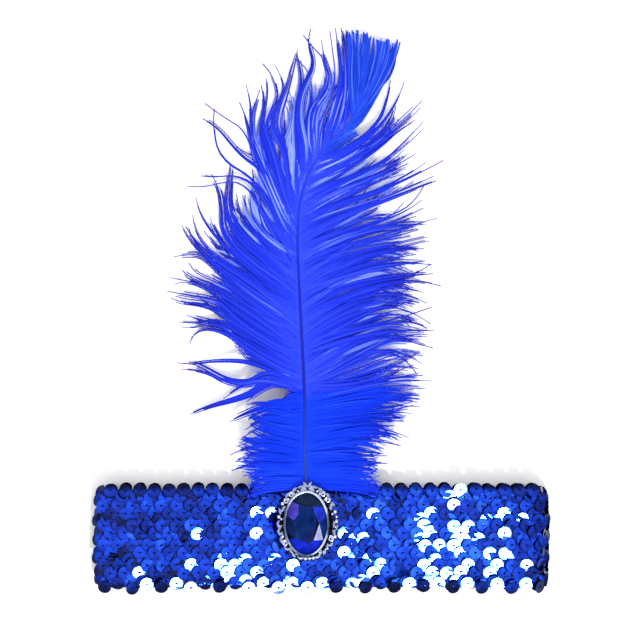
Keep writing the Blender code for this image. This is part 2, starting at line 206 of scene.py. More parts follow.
# A lock's root as the quill's y, its length, and its headings at the root, a third, two thirds
# and the tip, in degrees outwards from +Y
LEFT_LOCKS = (
    (0.0292, 0.027, (94, 92, 98, 104)),
    (0.0350, 0.031, (95, 92, 90, 86)),
    (0.0420, 0.030, (92, 88, 80, 72)),
    (0.0495, 0.026, (88, 80, 70, 60)),
    (0.0565, 0.0250, (89, 90, 92, 94)),
    (0.0622, 0.0165, (94, 102, 110, 116)),
    (0.0675, 0.011, (94, 100, 106, 110)),
    (0.0735, 0.028, (88, 84, 88, 94)),
    (0.0768, 0.034, (86, 78, 72, 70)),
    (0.0820, 0.043, (86, 77, 68, 60)),
    (0.0870, 0.050, (84, 73, 66, 64)),
    (0.0922, 0.056, (82, 69, 64, 68)),
    (0.0988, 0.056, (80, 66, 64, 68)),
    (0.1053, 0.051, (76, 63, 66, 68)),
    (0.1137, 0.054, (76, 62, 58, 70)),
    (0.1212, 0.052, (76, 62, 50, 46)),
    (0.1273, 0.050, (74, 58, 42, 22)),
    (0.1338, 0.046, (70, 52, 28, 6)),
    (0.1400, 0.042, (62, 42, 26, 8)),
    (0.1464, 0.056, (48, 36, 18, -4)),
    (0.1495, 0.058, (42, 34, 12, -6)),
    (0.1540, 0.058, (34, 28, 6, 2)),
    (0.1600, 0.056, (20, 18, -10, 12)),
    (0.1680, 0.054, (6, 8, -18, 10)),
    (0.1770, 0.046, (-4, 0, -22, -6)),
    (0.1975, 0.040, (8, 6, 2, 1)),
    (0.2015, 0.037, (0, -1, -2, -1)),
    (0.2055, 0.034, (-6, -8, -6, -2)),
)
RIGHT_LOCKS = (
    (0.0292, 0.034, (92, 92, 96, 94)),
    (0.0355, 0.035, (86, 88, 96, 92)),
    (0.0420, 0.038, (84, 86, 94, 98)),
    (0.0490, 0.043, (82, 84, 92, 108)),
    (0.0550, 0.049, (80, 84, 90, 86)),
    (0.0610, 0.055, (76, 80, 84, 90)),
    (0.0660, 0.060, (70, 72, 78, 94)),
    (0.0710, 0.063, (64, 66, 74, 96)),
    (0.0770, 0.065, (58, 63, 70, 94)),
    (0.0840, 0.064, (54, 60, 69, 102)),
    (0.0912, 0.066, (52, 60, 70, 104)),
    (0.0985, 0.067, (52, 58, 71, 100)),
    (0.1060, 0.063, (54, 58, 72, 88)),
    (0.1135, 0.063, (54, 60, 78, 100)),
    (0.1210, 0.064, (56, 60, 78, 94)),
    (0.1285, 0.066, (56, 62, 78, 84)),
    (0.1360, 0.048, (56, 62, 68, 70)),
    (0.1435, 0.062, (56, 62, 70, 64)),
    (0.1510, 0.060, (56, 62, 66, 60)),
    (0.1585, 0.047, (58, 62, 62, 58)),
    (0.1655, 0.056, (60, 64, 56, 44)),
    (0.1725, 0.034, (64, 68, 62, 54)),
    (0.1775, 0.020, (66, 68, 66, 62)),
    (0.1800, 0.020, (62, 58, 54, 50)),
    (0.1825, 0.039, (60, 44, 22, 14)),
    (0.1880, 0.050, (74, 32, 20, 12)),
    (0.1940, 0.048, (52, 34, 24, 10)),
    (0.2020, 0.041, (30, 24, 16, 6)),
    (0.2060, 0.036, (4, 4, 3, 2)),
)

# Locks that reach past the rest: the row of pixels where they leave the quill, how many barbs
# they hold, and the pixels they pass on their way, the last one their tip
LEFT_WISPS = (
    (129, 4, (348, 112), (352, 98), (352, 70), (350, 30)),
    (134, 5, (345, 115), (350, 98), (350, 65), (346, 28)),
    (139, 5, (342, 118), (346, 100), (347, 65), (343, 29)),
    (143, 1, (340, 117), (345, 108), (349, 100)),
    (145, 1, (337, 119), (343, 107), (348, 96)),
    (147, 1, (334, 121), (342, 105), (347, 92)),
    (149, 1, (331, 122), (340, 104), (346, 89)),
    (151, 1, (328, 124), (337, 104), (345, 87)),
    (153, 1, (325, 124), (334, 104), (343, 85)),
    (155, 1, (322, 126), (331, 104), (341, 82)),
    (157, 1, (319, 126), (328, 104), (339, 80)),
    (160, 1, (316, 128), (325, 106), (336, 84)),
    (146, 4, (338, 96), (341, 70), (338, 44), (336, 26)),
    (150, 1, (332, 100), (335, 70), (333, 52), (330, 29)),
    (148, 5, (337, 106), (344, 80), (342, 56), (338, 38)),
    (150, 5, (341, 100), (345, 66), (344, 40), (341, 26)),
    (158, 6, (312, 128), (316, 106), (327, 90), (330, 76), (326, 62), (322, 38)),
    (162, 4, (311, 125), (312, 112), (321, 97), (333, 84), (334, 70)),
    (164, 1, (318, 100), (326, 76), (322, 56), (312, 45), (303, 33)),
    (180, 6, (303, 143), (299, 120), (301, 95), (311, 72), (314, 63), (311, 48), (308, 37)),
    (184, 2, (300, 130), (299, 105), (306, 83), (314, 66), (309, 44), (311, 27)),
    (182, 1, (300, 120), (304, 92), (309, 74), (303, 64), (294, 57)),
    (186, 2, (308, 140), (304, 115), (306, 96), (310, 82)),
    (205, 6, (297, 150), (296, 120), (299, 95), (301, 75), (299, 62), (297, 50)),
    (214, 4, (285, 150), (275, 125), (279, 103), (286, 85), (290, 70), (296, 52)),
    (217, 2, (286, 150), (281, 120), (288, 92), (293, 72), (298, 47)),
    (219, 5, (284, 150), (273, 128), (274, 112), (281, 97), (284, 84), (280, 74), (275, 64)),
    (224, 3, (272, 145), (266, 128), (271, 110), (277, 95), (274, 80), (262, 62)),
    (230, 4, (268, 150), (262, 126), (265, 105), (267, 92), (266, 76)),
    (233, 5, (262, 150), (259, 128), (263, 108), (261, 84)),
    (236, 6, (260, 152), (252, 130), (253, 110), (257, 97), (260, 88)),
    (241, 4, (262, 168), (253, 145), (251, 122), (250, 103), (246, 83)),
    (246, 5, (268, 185), (254, 155), (249, 132), (245, 116), (239, 101)),
    (226, 1, (252, 148), (240, 127), (225, 117), (204, 102)),
    (254, 4, (270, 180), (257, 165), (245, 157), (235, 147), (215, 125), (202, 117)),
    (250, 2, (268, 174), (259, 159), (249, 153), (236, 146)),
    (262, 2, (262, 190), (245, 173), (229, 163), (219, 151), (214, 129), (214, 108)),
    (268, 3, (262, 195), (251, 183), (243, 178), (232, 175), (217, 176), (200, 175)),
    (276, 2, (258, 205), (245, 186), (235, 181), (225, 181), (205, 185), (186, 185)),
    (270, 3, (262, 235), (252, 211), (251, 195), (253, 183), (252, 169)),
    (278, 2, (258, 238), (247, 212), (245, 194)),
    (285, 3, (262, 245), (245, 225), (239, 208), (236, 193)),
    (288, 4, (260, 250), (246, 236), (236, 222), (231, 205), (231, 187), (233, 170)),
    (290, 7, (258, 252), (243, 239), (232, 225), (226, 205), (227, 187), (230, 162)),
    (297, 6, (250, 260), (235, 246), (224, 230), (222, 207), (220, 194), (211, 173)),
    (303, 3, (245, 262), (225, 246), (212, 232), (200, 213), (195, 196)),
    (308, 5, (242, 263), (225, 247), (215, 231), (209, 216)),
    (313, 5, (240, 266), (219, 250), (211, 241), (203, 230)),
    (318, 3, (240, 273), (218, 257), (205, 246), (195, 230), (192, 214)),
    (325, 8, (240, 280), (215, 263), (202, 251), (191, 240), (181, 224)),
    (328, 3, (225, 270), (205, 254), (193, 240), (188, 227)),
    (331, 8, (240, 288), (222, 272), (207, 259), (198, 254), (188, 254), (173, 256)),
    (338, 2, (225, 286), (208, 278), (197, 273), (188, 262)),
    (346, 9, (235, 302), (218, 290), (205, 284), (192, 278), (181, 270)),
    (350, 2, (225, 297), (200, 284), (185, 280), (169, 277)),
    (352, 4, (225, 302), (205, 288), (188, 282), (174, 283)),
    (357, 5, (235, 316), (218, 301), (200, 297), (183, 294), (166, 291)),
    (361, 7, (235, 322), (215, 309), (197, 304), (182, 302), (170, 298)),
    (364, 6, (230, 320), (210, 308), (200, 298), (196, 293)),
    (366, 4, (230, 326), (212, 322), (200, 319), (186, 315)),
    (369, 5, (235, 330), (216, 321), (200, 323), (178, 322)),
    (372, 5, (235, 336), (220, 326), (205, 324), (193, 327), (180, 327)),
    (377, 6, (245, 346), (225, 333), (208, 329), (198, 331), (191, 337), (189, 344)),
    (381, 5, (262, 361), (245, 350), (236, 340), (222, 331)),
    (384, 4, (268, 367), (250, 360), (241, 350), (238, 344)),
    (386, 3, (261, 366), (245, 362), (227, 361), (208, 362), (193, 364), (176, 363)),
    (388, 6, (264, 376), (250, 383), (236, 383), (224, 380), (211, 373), (198, 366), (182, 363)),
    (389, 3, (258, 381), (240, 384), (222, 380), (204, 373), (181, 370)),
    (386, 3, (265, 374), (250, 381), (236, 390), (223, 399)),
    (390, 5, (268, 382), (250, 394), (233, 400), (209, 407), (189, 415)),
    (391, 4, (272, 385), (260, 391), (246, 402)),
)
RIGHT_WISPS = (
    (150, 2, (352, 128), (368, 108), (376, 90), (388, 78), (395, 62), (396, 47)),
    (166, 3, (349, 146), (369, 131), (381, 115), (387, 97), (391, 79)),
    (170, 3, (352, 147), (375, 130), (392, 108), (405, 80)),
    (177, 6, (358, 148), (378, 137), (391, 121), (396, 104)),
    (181, 3, (362, 151), (388, 132), (405, 117), (423, 99)),
    (184, 2, (366, 152), (391, 134), (421, 106)),
    (187, 4, (366, 156), (385, 142), (399, 130), (416, 118)),
    (196, 2, (392, 153), (408, 137), (424, 120)),
    (201, 2, (396, 152), (422, 129)),
    (204, 3, (385, 164), (406, 155)),
    (206, 3, (390, 168), (416, 153)),
    (211, 2, (385, 173), (409, 162)),
    (220, 2, (393, 182), (427, 161)),
    (223, 2, (401, 181), (444, 159)),
    (230, 2, (396, 192), (434, 175)),
    (240, 3, (401, 194), (437, 180)),
    (249, 1, (385, 217), (405, 208), (425, 184)),
    (253, 2, (385, 219), (400, 213), (422, 199)),
    (257, 2, (396, 220), (424, 207)),
    (262, 4, (390, 224), (417, 215)),
    (267, 2, (396, 230), (438, 217)),
    (270, 2, (390, 237), (419, 229)),
    (275, 2, (390, 245), (429, 236)),
    (280, 2, (392, 249), (430, 240)),
    (285, 4, (386, 251), (425, 248)),
    (290, 3, (388, 259), (417, 254)),
    (294, 2, (397, 265), (426, 260)),
    (299, 4, (403, 263), (433, 264)),
    (306, 4, (400, 277), (434, 273)),
    (319, 2, (385, 288), (402, 280), (431, 264)),
    (322, 3, (390, 283), (407, 281), (442, 286)),
    (325, 2, (402, 288), (424, 292)),
    (329, 2, (402, 294), (428, 303)),
    (341, 2, (403, 309), (432, 324)),
    (346, 2, (404, 316), (432, 307)),
    (351, 2, (390, 324), (410, 322), (428, 328)),
    (355, 3, (405, 331), (435, 331)),
    (363, 4, (400, 338), (420, 344), (434, 348)),
    (380, 2, (386, 352), (402, 358), (418, 375)),
    (384, 2, (397, 352), (423, 364)),
    (386, 4, (375, 376), (392, 366), (420, 352)),
    (390, 4, (380, 380), (400, 370), (414, 365)),
    (397, 3, (400, 377), (424, 376)),
    (399, 2, (400, 381), (433, 381)),
)
# The same for the down; the last one on the right fell over the sequins beside the brooch
LEFT_DOWN_WISPS = (
    (392, 3, (298, 391), (291, 391), (287, 392)),
    (395, 3, (298, 394), (290, 395), (285, 396)),
    (396, 5, (294, 397), (284, 402), (270, 404), (256, 405)),
    (399, 3, (280, 404), (266, 403), (254, 403), (247, 405)),
    (406, 6, (275, 404), (261, 408), (245, 414), (229, 422)),
    (416, 4, (265, 410), (256, 414), (248, 420)),
    (425, 3, (262, 419), (254, 424), (245, 430)),
    (434, 2, (260, 428), (251, 432), (241, 438)),
    (443, 2, (258, 438), (247, 442), (237, 446)),
    (452, 3, (256, 446), (244, 449), (230, 455)),
    (460, 2, (256, 454), (245, 457), (235, 461)),
    (468, 3, (256, 464), (246, 466), (232, 470)),
)
RIGHT_DOWN_WISPS = (
    (404, 4, (400, 388), (427, 389)),
    (412, 3, (380, 404), (395, 400), (420, 399)),
    (418, 4, (370, 412), (390, 410), (414, 405)),
    (425, 3, (380, 415), (401, 415)),
    (432, 2, (372, 422), (394, 421)),
    (440, 3, (383, 429), (409, 438)),
    (450, 2, (378, 441), (401, 445)),
    (462, 2, (366, 455), (387, 455)),
    (468, 3, (366, 462), (387, 463)),
    (477, 1, (352, 470), (347, 490), (352, 508)),
)
# How far from the quill's own direction wisps leave it, high up and at the down, in degrees,
# and the rows of pixels between which the one goes over to the other
WISP_ROOT_ANGLES = (44.0, 84.0)
WISP_ROOT_ROWS = (320, 400)

# The tuft was cut off blunt, along a line that falls to the right of its left corner
CUT_CORNER = (343, 25)
CUT_SLOPE = 0.24
# Only barbs that rise by more than this from their root can reach it
CUT_RISE = 0.01

# Barbs: their steps, and the heights that they keep off the table and, as far as Y, the band
BARB_STEPS = 14
WISP_STEPS = 20
BARB_FLOOR = 0.0011
BAND_TOP = 0.0126
BAND_LEFT_AT = 0.0310
BAND_LEFT_OVER = 0.0050
# How sharply a lock's headings, from the root on, and its length give way to the next lock's
LOCK_SHARPNESS = (1.0, 1.2, 1.5, 1.9, 2.2)
MOST_LOCKS = 400
# How much wider the headings of a stray barb spread, and how far the rest are drawn together
STRAY_TURNS = (0.0, 4.0, 12.0, 26.0)
ROOT_STRAY = 0.3
CLUMP_OVER = 0.6
LOOSE_CLUMP = 0.1
# How much shorter locks and single barbs are where they end at the cut, at most
CUT_NOTCHES = (0.06, 0.04)
LEAST_CUT = 0.2
# Share of a barb's lift that its lock and the barb itself each make up
LIFT_SHARE = 0.6
# The vane, the down at its foot and the tuft at its tip, in metres and degrees: from where to
# where barbs root and how closely; how far neighbours are drawn together, from what share of
# their length, and the share left loose; shares of pale barbs and of the locks' full length;
# sizes of small locks, and how far the headings of locks and barbs differ from root to tip;
# the share of strays; how locks and barbs differ in length and lift; the tones of the fillers;
# widths at foot and tip and how dry the tips are; the barbules on a barb, their angle and length
VANE_BARB = {
    "reach": {"left": (0.0706, 0.1795), "right": (0.0655, 0.1788)},
    "spacing": 0.00037, "clump": 0.94, "clump_from": 0.35, "loose": 0.18,
    "pale": {"left": 0.65, "right": 0.30}, "full": {"left": 0.86, "right": 0.95},
    "lock": (0.0012, 0.0034), "drift": (0, 2, 6, 12), "spread": (0.5, 1.0, 2.0, 5.0),
    "strays": 0.04, "lengths": (-0.10, 0.05), "ragged": (0.84, 1.02), "lift": 0.0009,
    "filler": (0.80, 0.97), "widths": (0.00085, 0.00030), "tips": 0.85,
    "barbules": 62, "angle": 24.0, "hair": 0.0028,
}
DOWN_BARB = {
    "reach": {"left": (0.0235, 0.0680), "right": (0.0235, 0.0660)},
    "spacing": 0.00024, "clump": 0.55, "clump_from": 0.6, "loose": 0.35,
    "pale": {"left": 0.0, "right": 0.0}, "full": {"left": 1.0, "right": 1.0},
    "lock": (0.0012, 0.0026), "drift": (0, 2, 4, 10), "spread": (1.0, 2.0, 4.0, 7.0),
    "strays": 0.03, "lengths": (-0.06, 0.05), "ragged": (0.90, 1.03), "lift": 0.0007,
    "filler": (0.40, 0.60), "widths": (0.00100, 0.00034), "tips": 0.35,
    "barbules": 60, "angle": 30.0, "hair": 0.0032,
}
TUFT_BARB = {
    "reach": {"left": (0.1972, 0.2065), "right": (0.1788, 0.2065)},
    "spacing": 0.00028, "clump": 0.60, "clump_from": 0.5, "loose": 0.25,
    "pale": {"left": 0.30, "right": 0.30}, "full": {"left": 1.0, "right": 1.0},
    "lock": (0.0010, 0.0022), "drift": (0, 1, 3, 6), "spread": (2.0, 2.0, 2.0, 3.0),
    "strays": 0.02, "lengths": (-0.03, 0.03), "ragged": (0.95, 1.03), "lift": 0.0009,
    "filler": (0.45, 0.80), "widths": (0.00085, 0.00060), "tips": 0.10,
    "barbules": 60, "angle": 12.0, "hair": 0.0040,
}
# Wisps besides swell apart within a share of their length, and come together at their ends
WISP_BARB = {
    "widths": (0.00090, 0.00040), "tips": 0.95, "barbules": 48, "angle": 17.0, "hair": 0.0024,
    "apart": (0.00088, 0.00032), "swell": 0.25, "ends": (0.84, 0.98), "stray": 0.0003,
    "lift": (-0.00016, 0.0008), "dry_from": 0.62, "pale": {-1: 0.42, 1: 0.14},
}
# Height to width of a barb, how its width varies, from what share of its length it dries, how
# dry the tips are at least and at most, and how dry barbules are beside their barb
BARB_FLATNESS = 0.34
BARB_RAGGED = (0.8, 1.15)
DRY_FROM = 0.60
DRY_TIPS = {"barb": (0.3, 1.0), "wisp": (0.6, 1.0)}
BARBULE_DRYNESS = 0.7
# From this height of the root on, single barbs are painted pale for light through thin barbs, more
# of them within this much
PALE_FROM = 0.120
PALE_OVER = {"barb": 0.05, "wisp": 0.03}
PALE_TONES = {"barb": (0.80, 0.95), "wisp": (0.78, 0.92)}
# Shades: the middle one, by how much locks and barbs differ and how much lighter higher barbs
# are painted and lower ones darker, and the lightest; the same for wisps; how soon a barb takes
# its own shade, and how much painted light its foot gets; the lightest of the barbules, and how
# they darken from foot to tip
MIDDLE_TONE = 0.5
BARB_TONES = (0.10, 0.12, 0.75)
WISP_TONES = (0.45, 0.12)
OWN_TONE = (0.1, 0.45)
FOOT_LIGHT = 0.16
HAIR_TONES = (0.86, 0.05, 0.10)
# Barbules: width, and height to half of it; where along a barb they begin, and over how much of
# it they go on; by how much their angle and rise vary; how much shorter the last ones are; and
# how ragged all are
BARBULE_WIDTH = 0.00018
BARBULE_HEIGHT = 0.8
BARBULE_PLACES = (0.03, 0.95)
BARBULE_SPREADS = (5.0, 0.10)
BARBULE_SHORTENING = 0.72
BARBULE_RAGGED = (0.7, 1.0)
# Barbs that fill the slits between locks, painted pale for light through the vane: their share of
# the length, widths, flatness, sinking, and from where on and how soon they are pale
FILLER_REACH = 0.82
FILLER_WIDTHS = (0.0004, 0.0021)
FILLER_FLATNESS = 0.12
FILLER_SINK = 0.0005
FILLER_PALE = (0.1, 0.4)

# Brooch, on the source's ovals: its ornament is finer here and rises 0.4 mm more
SETTING_FOOT = 0.0121
STONE_MIDDLE = (-0.0070, 0.0078)
STONE_HALF = (0.0100, 0.0147)
STONE_BOTTOM = SETTING_FOOT + 0.0030
GIRDLE_TOP = STONE_BOTTOM + 0.0012
CROWN_HEIGHT = 0.0032
TABLE_SHARE = 0.58
BORDER_MIDDLE = (-0.0065, 0.0081)
BORDER_HALF = (0.0127, 0.0162)
BORDER_RISE = 0.0036
SCROLL_RADIUS = 0.00135
SCROLL_WIRE = 0.00052
# A scroll starts and turns by these degrees, its radius and its wire shrink by these shares,
# and it rises to its ball
SCROLL_STEPS = 34
SCROLL_TURNS = (-145, 470)
SCROLL_SHRINKING = (0.62, 0.30)
SCROLL_RISE = 0.00022
SCROLL_BALL = 0.0011
SCROLL_BALL_RISE = 0.0001
# The border falls outwards by this for each millimetre; the crest's leaves spread in degrees
BORDER_FALL = 0.0002
CREST_SPREAD = 36.0
CREST_SIZE = (0.0036, 0.0017)
CREST_RISE = 0.0006
CREST_RIDGE = 0.3
SETTING_SIDES = 128
# The wall's distance out from the stone's girdle, its height above the foot, and how much the
# antiquing left bright, from 0 in a recess to 1
SETTING_WALL = (
    (-1.20, 2.00, 0.1), (0.10, 2.00, 0.1), (0.10, 0.00, 0.1), (0.90, 0.00, 0.1),
    (0.90, 1.95, 0.1), (2.90, 2.05, 0.1), (3.10, 2.20, 0.3), (3.05, 2.55, 0.3),
    (2.80, 2.65, 0.2), (1.60, 2.70, 0.2), (1.20, 3.00, 0.1), (1.00, 3.70, 0.1),
    (0.88, 4.40, 0.5), (0.72, 5.10, 0.9), (0.50, 5.60, 1.0), (0.20, 5.86, 1.0),
    (-0.12, 5.90, 1.0), (-0.38, 5.80, 0.8), (-0.45, 5.55, 0.3), (-0.35, 5.35, 0.1),
    (0.20, 5.00, 0.1), (0.30, 2.70, 0.0), (-1.20, 2.70, 0.0),
)
# How light the bezel and the plate under it are round their oval: degrees clockwise from its top,
# and share
BEZEL_BRIGHTNESS = (
    (0, 0.75), (30, 1.0), (60, 1.0), (78, 0.45), (100, 0.35), (122, 0.85), (150, 0.75),
    (172, 0.30), (192, 0.35), (214, 0.60), (240, 0.60), (262, 0.40), (285, 0.45), (312, 0.70),
    (340, 0.85), (360, 0.75),
)
# Length, width and ridge of the border's lenses; then the border: degrees clockwise from its
# top, millimetres out from its middle line, what lies there, and how far it is turned from the
# line's own direction
LENSES = {
    "long leaf": (0.0058, 0.0023, 0.35),
    "leaf": (0.0039, 0.0021, 0.35),
    "bead": (0.0021, 0.0021, 0.0),
    "small bead": (0.0015, 0.0015, 0.0),
}
BORDER = (
    (10, 0.5, "long leaf", -6), (9, -0.9, "leaf", 8), (22, -0.6, "small bead", 0),
    (27, 0.6, "leaf", 24), (34, -0.2, "scroll", 0), (44, 0.9, "leaf", 20),
    (49, -0.3, "scroll", 0), (60, 0.7, "leaf", -25), (63, -0.7, "leaf", 20),
    (73, 0.7, "bead", 0), (75, -0.8, "small bead", 0), (81, 0.9, "small bead", 0),
    (88, 0.7, "bead", 0), (93, -0.7, "leaf", 0), (98, 0.9, "leaf", 25),
    (106, 0.0, "leaf", -50), (112, 1.1, "bead", 0), (118, -0.4, "scroll", 0),
    (125, 0.9, "leaf", 10), (133, -0.1, "leaf", -40), (143, 0.5, "leaf", -25),
    (152, -0.4, "leaf", -35), (160, 0.5, "leaf", 15), (168, 0.4, "bead", 0),
    (176, 0.3, "bead", 0), (184, 0.4, "bead", 0), (194, 0.4, "leaf", -10),
    (203, -0.5, "small bead", 0), (209, 0.5, "leaf", 30), (218, -0.3, "leaf", 35),
    (226, 0.8, "leaf", -15), (234, -0.1, "scroll", 0), (243, 0.9, "leaf", 20),
    (249, -0.6, "leaf", 0), (254, 0.8, "leaf", -35), (262, 0.0, "leaf", 50),
    (268, 0.8, "leaf", 15), (276, -0.6, "small bead", 0), (279, 0.7, "bead", 0),
    (288, 0.5, "leaf", -40), (294, -0.7, "leaf", 10), (301, 0.8, "bead", 0),
    (309, -0.2, "scroll", 0), (316, 0.9, "leaf", -20), (324, -0.2, "scroll", 0),
    (333, 0.6, "leaf", -24), (339, -0.7, "small bead", 0), (350, 0.5, "long leaf", 6),
    (351, -0.9, "leaf", -8),
)
# Corners of the stone's facets in shares of its half sizes; numbers in a facet are places on
# the girdle, clockwise from the top
GIRDLE_PLACES = 24
PAVILION_COLOUR = "0A1020"
PAVILION_RIM = 0.0004
PAVILION_SHARE = 0.97
STONE_CORNERS = {
    "a": (-0.37, 0.60), "b": (0.30, 0.54), "d": (-0.38, 0.28), "e": (-0.57, 0.12),
    "f": (-0.50, -0.45), "g": (0.46, 0.20), "h": (0.60, 0.00), "k": (0.34, -0.52),
    "m": (0.08, -0.64), "n": (-0.15, -0.55), "p": (0.78, -0.52), "t": (-0.02, 0.56),
    "q": (0.05, 0.00), "r": (0.38, -0.20),
}
# Each facet's colour is painted light and shade: the blues and near-blacks that it shows, and the
# pale one a painted highlight
STONE_FACETS = (
    ("142848", ("a", 21, 22, 23, 0, 1, 2, 3, 4, "b", "t")),
    ("4C42C0", ("d", "e", 19, 20, 21, "a")),
    ("0A2058", ("e", "f", 17, 18, 19)),
    ("060A26", ("f", 16, 17)),
    ("0A2864", ("a", "t", "q", "n", "f", "e", "d")),
    ("082060", ("t", "b", "g", "r", "k", "m", "n", "q")),
    ("2036CE", ("b", 4, 5, "h", "g")),
    ("0E2C74", ("h", 5, 6, 7, 8, "p")),
    ("04081E", ("g", "h", "k", "r")),
    ("A8ACDA", ("h", "p", "k")),
    ("1228C8", ("f", "n", "m", "k", "p", 8, 9, 10, 11, 12, 13, 14, 15, 16)),
)

LAMP_PLACE = (0.30, -0.92, 1.30)
LAMP_SIDE = 0.16
LAMP_WATTS = 15.0
# Light of the white room at the horizon, how much more there is overhead, and the dark camera
# there: the heights of its edge's outside and inside, and the share of light left in it
ROOM_LIGHT = (0.60, 1.30)
CAMERA_SHADE = (0.985, 0.998, 0.06)
TABLE_HALF = 3.0


def pixel_xy(px, py):
    """A pixel of the photograph as X and Y on the band's plane."""
    return (px - ORIGIN_PIXEL[0]) * PIXEL, (ORIGIN_PIXEL[1] - py) * PIXEL


CAMERA_PLACE = (*pixel_xy(PHOTO_SIDE / 2, PHOTO_SIDE / 2), CAMERA_PLANE + CAMERA_DISTANCE)


def unit(vectors):
    """Vectors scaled to length one."""
    return vectors / np.linalg.norm(vectors, axis=-1, keepdims=True)


def smooth_step(share):
    """From 0 to 1 in an S: three times the square less twice the cube."""
    share = np.clip(share, 0.0, 1.0)
    return share * share * (3.0 - 2.0 * share)


def cubic(t, start, end, leave, arrive):
    """A cubic between two points that leaves and arrives along two tangents."""
    t = t[:, None]
    line = (2 * t**3 - 3 * t**2 + 1) * start + (t**3 - 2 * t**2 + t) * leave
    return line + (3 * t**2 - 2 * t**3) * end + (t**3 - t**2) * arrive


def ring_angles(sides):
    """Angles of a ring's points, in radians."""
    return np.arange(sides) * 2 * np.pi / sides


def level_frame(paths):
    """Directions along paths, level across them, and upright on both."""
    along = unit(np.gradient(paths, axis=-2))
    across = unit(np.cross(along, UP))
    return along, across, np.cross(across, along)


# Meshes


def grid_faces(rows, columns, wrap_rows=False, wrap_columns=True):
    """Quads between neighbouring points of a grid, closed round where it wraps."""
    r = np.arange(rows if wrap_rows else rows - 1)[:, None]
    c = np.arange(columns if wrap_columns else columns - 1)[None, :]
    r2, c2 = (r + 1) % rows, (c + 1) % columns
    corners = (r * columns + c, r * columns + c2, r2 * columns + c2, r2 * columns + c)
    return np.stack(np.broadcast_arrays(*corners), axis=-1).reshape(-1, 4)


def repeated(points, faces, count_each):
    """Faces of one shape, given again for every copy whose points follow each other."""
    firsts = np.arange(len(points) // count_each) * count_each
    return (faces[None] + firsts[:, None, None]).reshape(-1, faces.shape[1])


def end_fans(sides, base, first, last):
    """Triangles from the point at each end of a tube to its first ring, and to the last one,
    whose points begin at base."""
    j = np.arange(sides)
    k = (j + 1) % sides
    start = np.stack([np.full(sides, first), k, j], axis=1)
    end = np.stack([np.full(sides, last), base + j, base + k], axis=1)
    return np.concatenate([start, end])


def merged(*parts):
    """Several (points, quads, triangles, values) as one; values are per point, by name."""
    points, quads, triangles, values, base = [], [], [], {}, 0
    for part in parts:
        points.append(part["points"])
        quads.append(part.get("quads", np.zeros((0, 4), int)) + base)
        triangles.append(part.get("triangles", np.zeros((0, 3), int)) + base)
        for name, value in part.get("values", {}).items():
            values.setdefault(name, []).append(value)
        base += len(part["points"])
    return {
        "points": np.concatenate(points),
        "quads": np.concatenate(quads),
        "triangles": np.concatenate(triangles),
        "values": {name: np.concatenate(found) for name, found in values.items()},
    }


def add_object(name, data):
    """An object of this data, in the scene."""
    made = bpy.data.objects.new(name, data)
    bpy.context.scene.collection.objects.link(made)
    return made


def add_piece(name, shape, material, smooth_below=None, uv=None):
    """A mesh object of a shape's points and faces, placed by its points alone. Edges sharper
    than smooth_below degrees stay crisp; without it every face is flat."""
    quads = shape.get("quads", np.zeros((0, 4), int))
    triangles = shape.get("triangles", np.zeros((0, 3), int))
    mesh = bpy.data.meshes.new(name)
    mesh.vertices.add(len(shape["points"]))
    mesh.vertices.foreach_set("co", np.asarray(shape["points"], np.float32).ravel())
    corners = np.concatenate([quads.ravel(), triangles.ravel()]).astype(np.int32)
    starts = np.concatenate(
        [np.arange(len(quads)) * 4, len(quads) * 4 + np.arange(len(triangles)) * 3]
    )
    mesh.loops.add(len(corners))
    mesh.loops.foreach_set("vertex_index", corners)
    mesh.polygons.add(len(starts))
    mesh.polygons.foreach_set("loop_start", starts.astype(np.int32))
    mesh.update(calc_edges=True)
    for key, value in shape.get("values", {}).items():
        mesh.attributes.new(key, "FLOAT", "POINT").data.foreach_set(
            "value", np.asarray(value, np.float32)
        )
    if uv is not None:
        layer = mesh.uv_layers.new(name="UVMap")
        layer.data.foreach_set("uv", np.asarray(uv, np.float32)[corners].ravel())
    mesh.materials.append(material)
    if smooth_below is not None:
        mesh.shade_smooth()
        mesh.set_sharp_from_angle(angle=np.radians(smooth_below))
    made = add_object(name, mesh)
    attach(made, "root")
    return made


def strands(paths, widths, heights, sides=4, values=None):
    """Closed tapering strands, one for each path: at every point an oval ring lies across the
    path, its width level and its height upright, and a flat face closes each end."""
    steps = paths.shape[1]
    _, across, up = level_frame(paths)
    turn = ring_angles(sides)
    ring = across[:, :, None] * (np.cos(turn)[:, None] * widths[:, :, None, None] / 2)
    ring = ring + up[:, :, None] * (np.sin(turn)[:, None] * heights[:, :, None, None] / 2)
    points = (paths[:, :, None] + ring).reshape(-1, 3)
    each = steps * sides
    quads = repeated(points, grid_faces(steps, sides), each)
    ends = {}
    caps = np.array([np.arange(sides)[::-1], np.arange(sides) + each - sides])
    if sides == 4:
        quads = np.concatenate([quads, repeated(points, caps, each)])
    else:
        ends["triangles"] = repeated(points, caps, each)
    given = {key: np.repeat(value.ravel(), sides) for key, value in (values or {}).items()}
    return {"points": points, "quads": quads[:, ::-1], "values": given, **ends}


def tube(path, radii, sides=10):
    """One closed round tube through the points of a path, its ends drawn to a point."""
    along, across, up = level_frame(path)
    turn = ring_angles(sides)
    ring = across[:, None] * np.cos(turn)[:, None] + up[:, None] * np.sin(turn)[:, None]
    points = (path[:, None] + ring * radii[:, None, None]).reshape(-1, 3)
    tips = (path[:1] - along[:1] * radii[0], path[-1:] + along[-1:] * radii[-1])
    count = len(points)
    fans = end_fans(sides, count - sides, count, count + 1)
    return {
        "points": np.concatenate([points, *tips]),
        "quads": grid_faces(len(path), sides)[:, ::-1],
        "triangles": fans[:, ::-1],
    }


# Materials


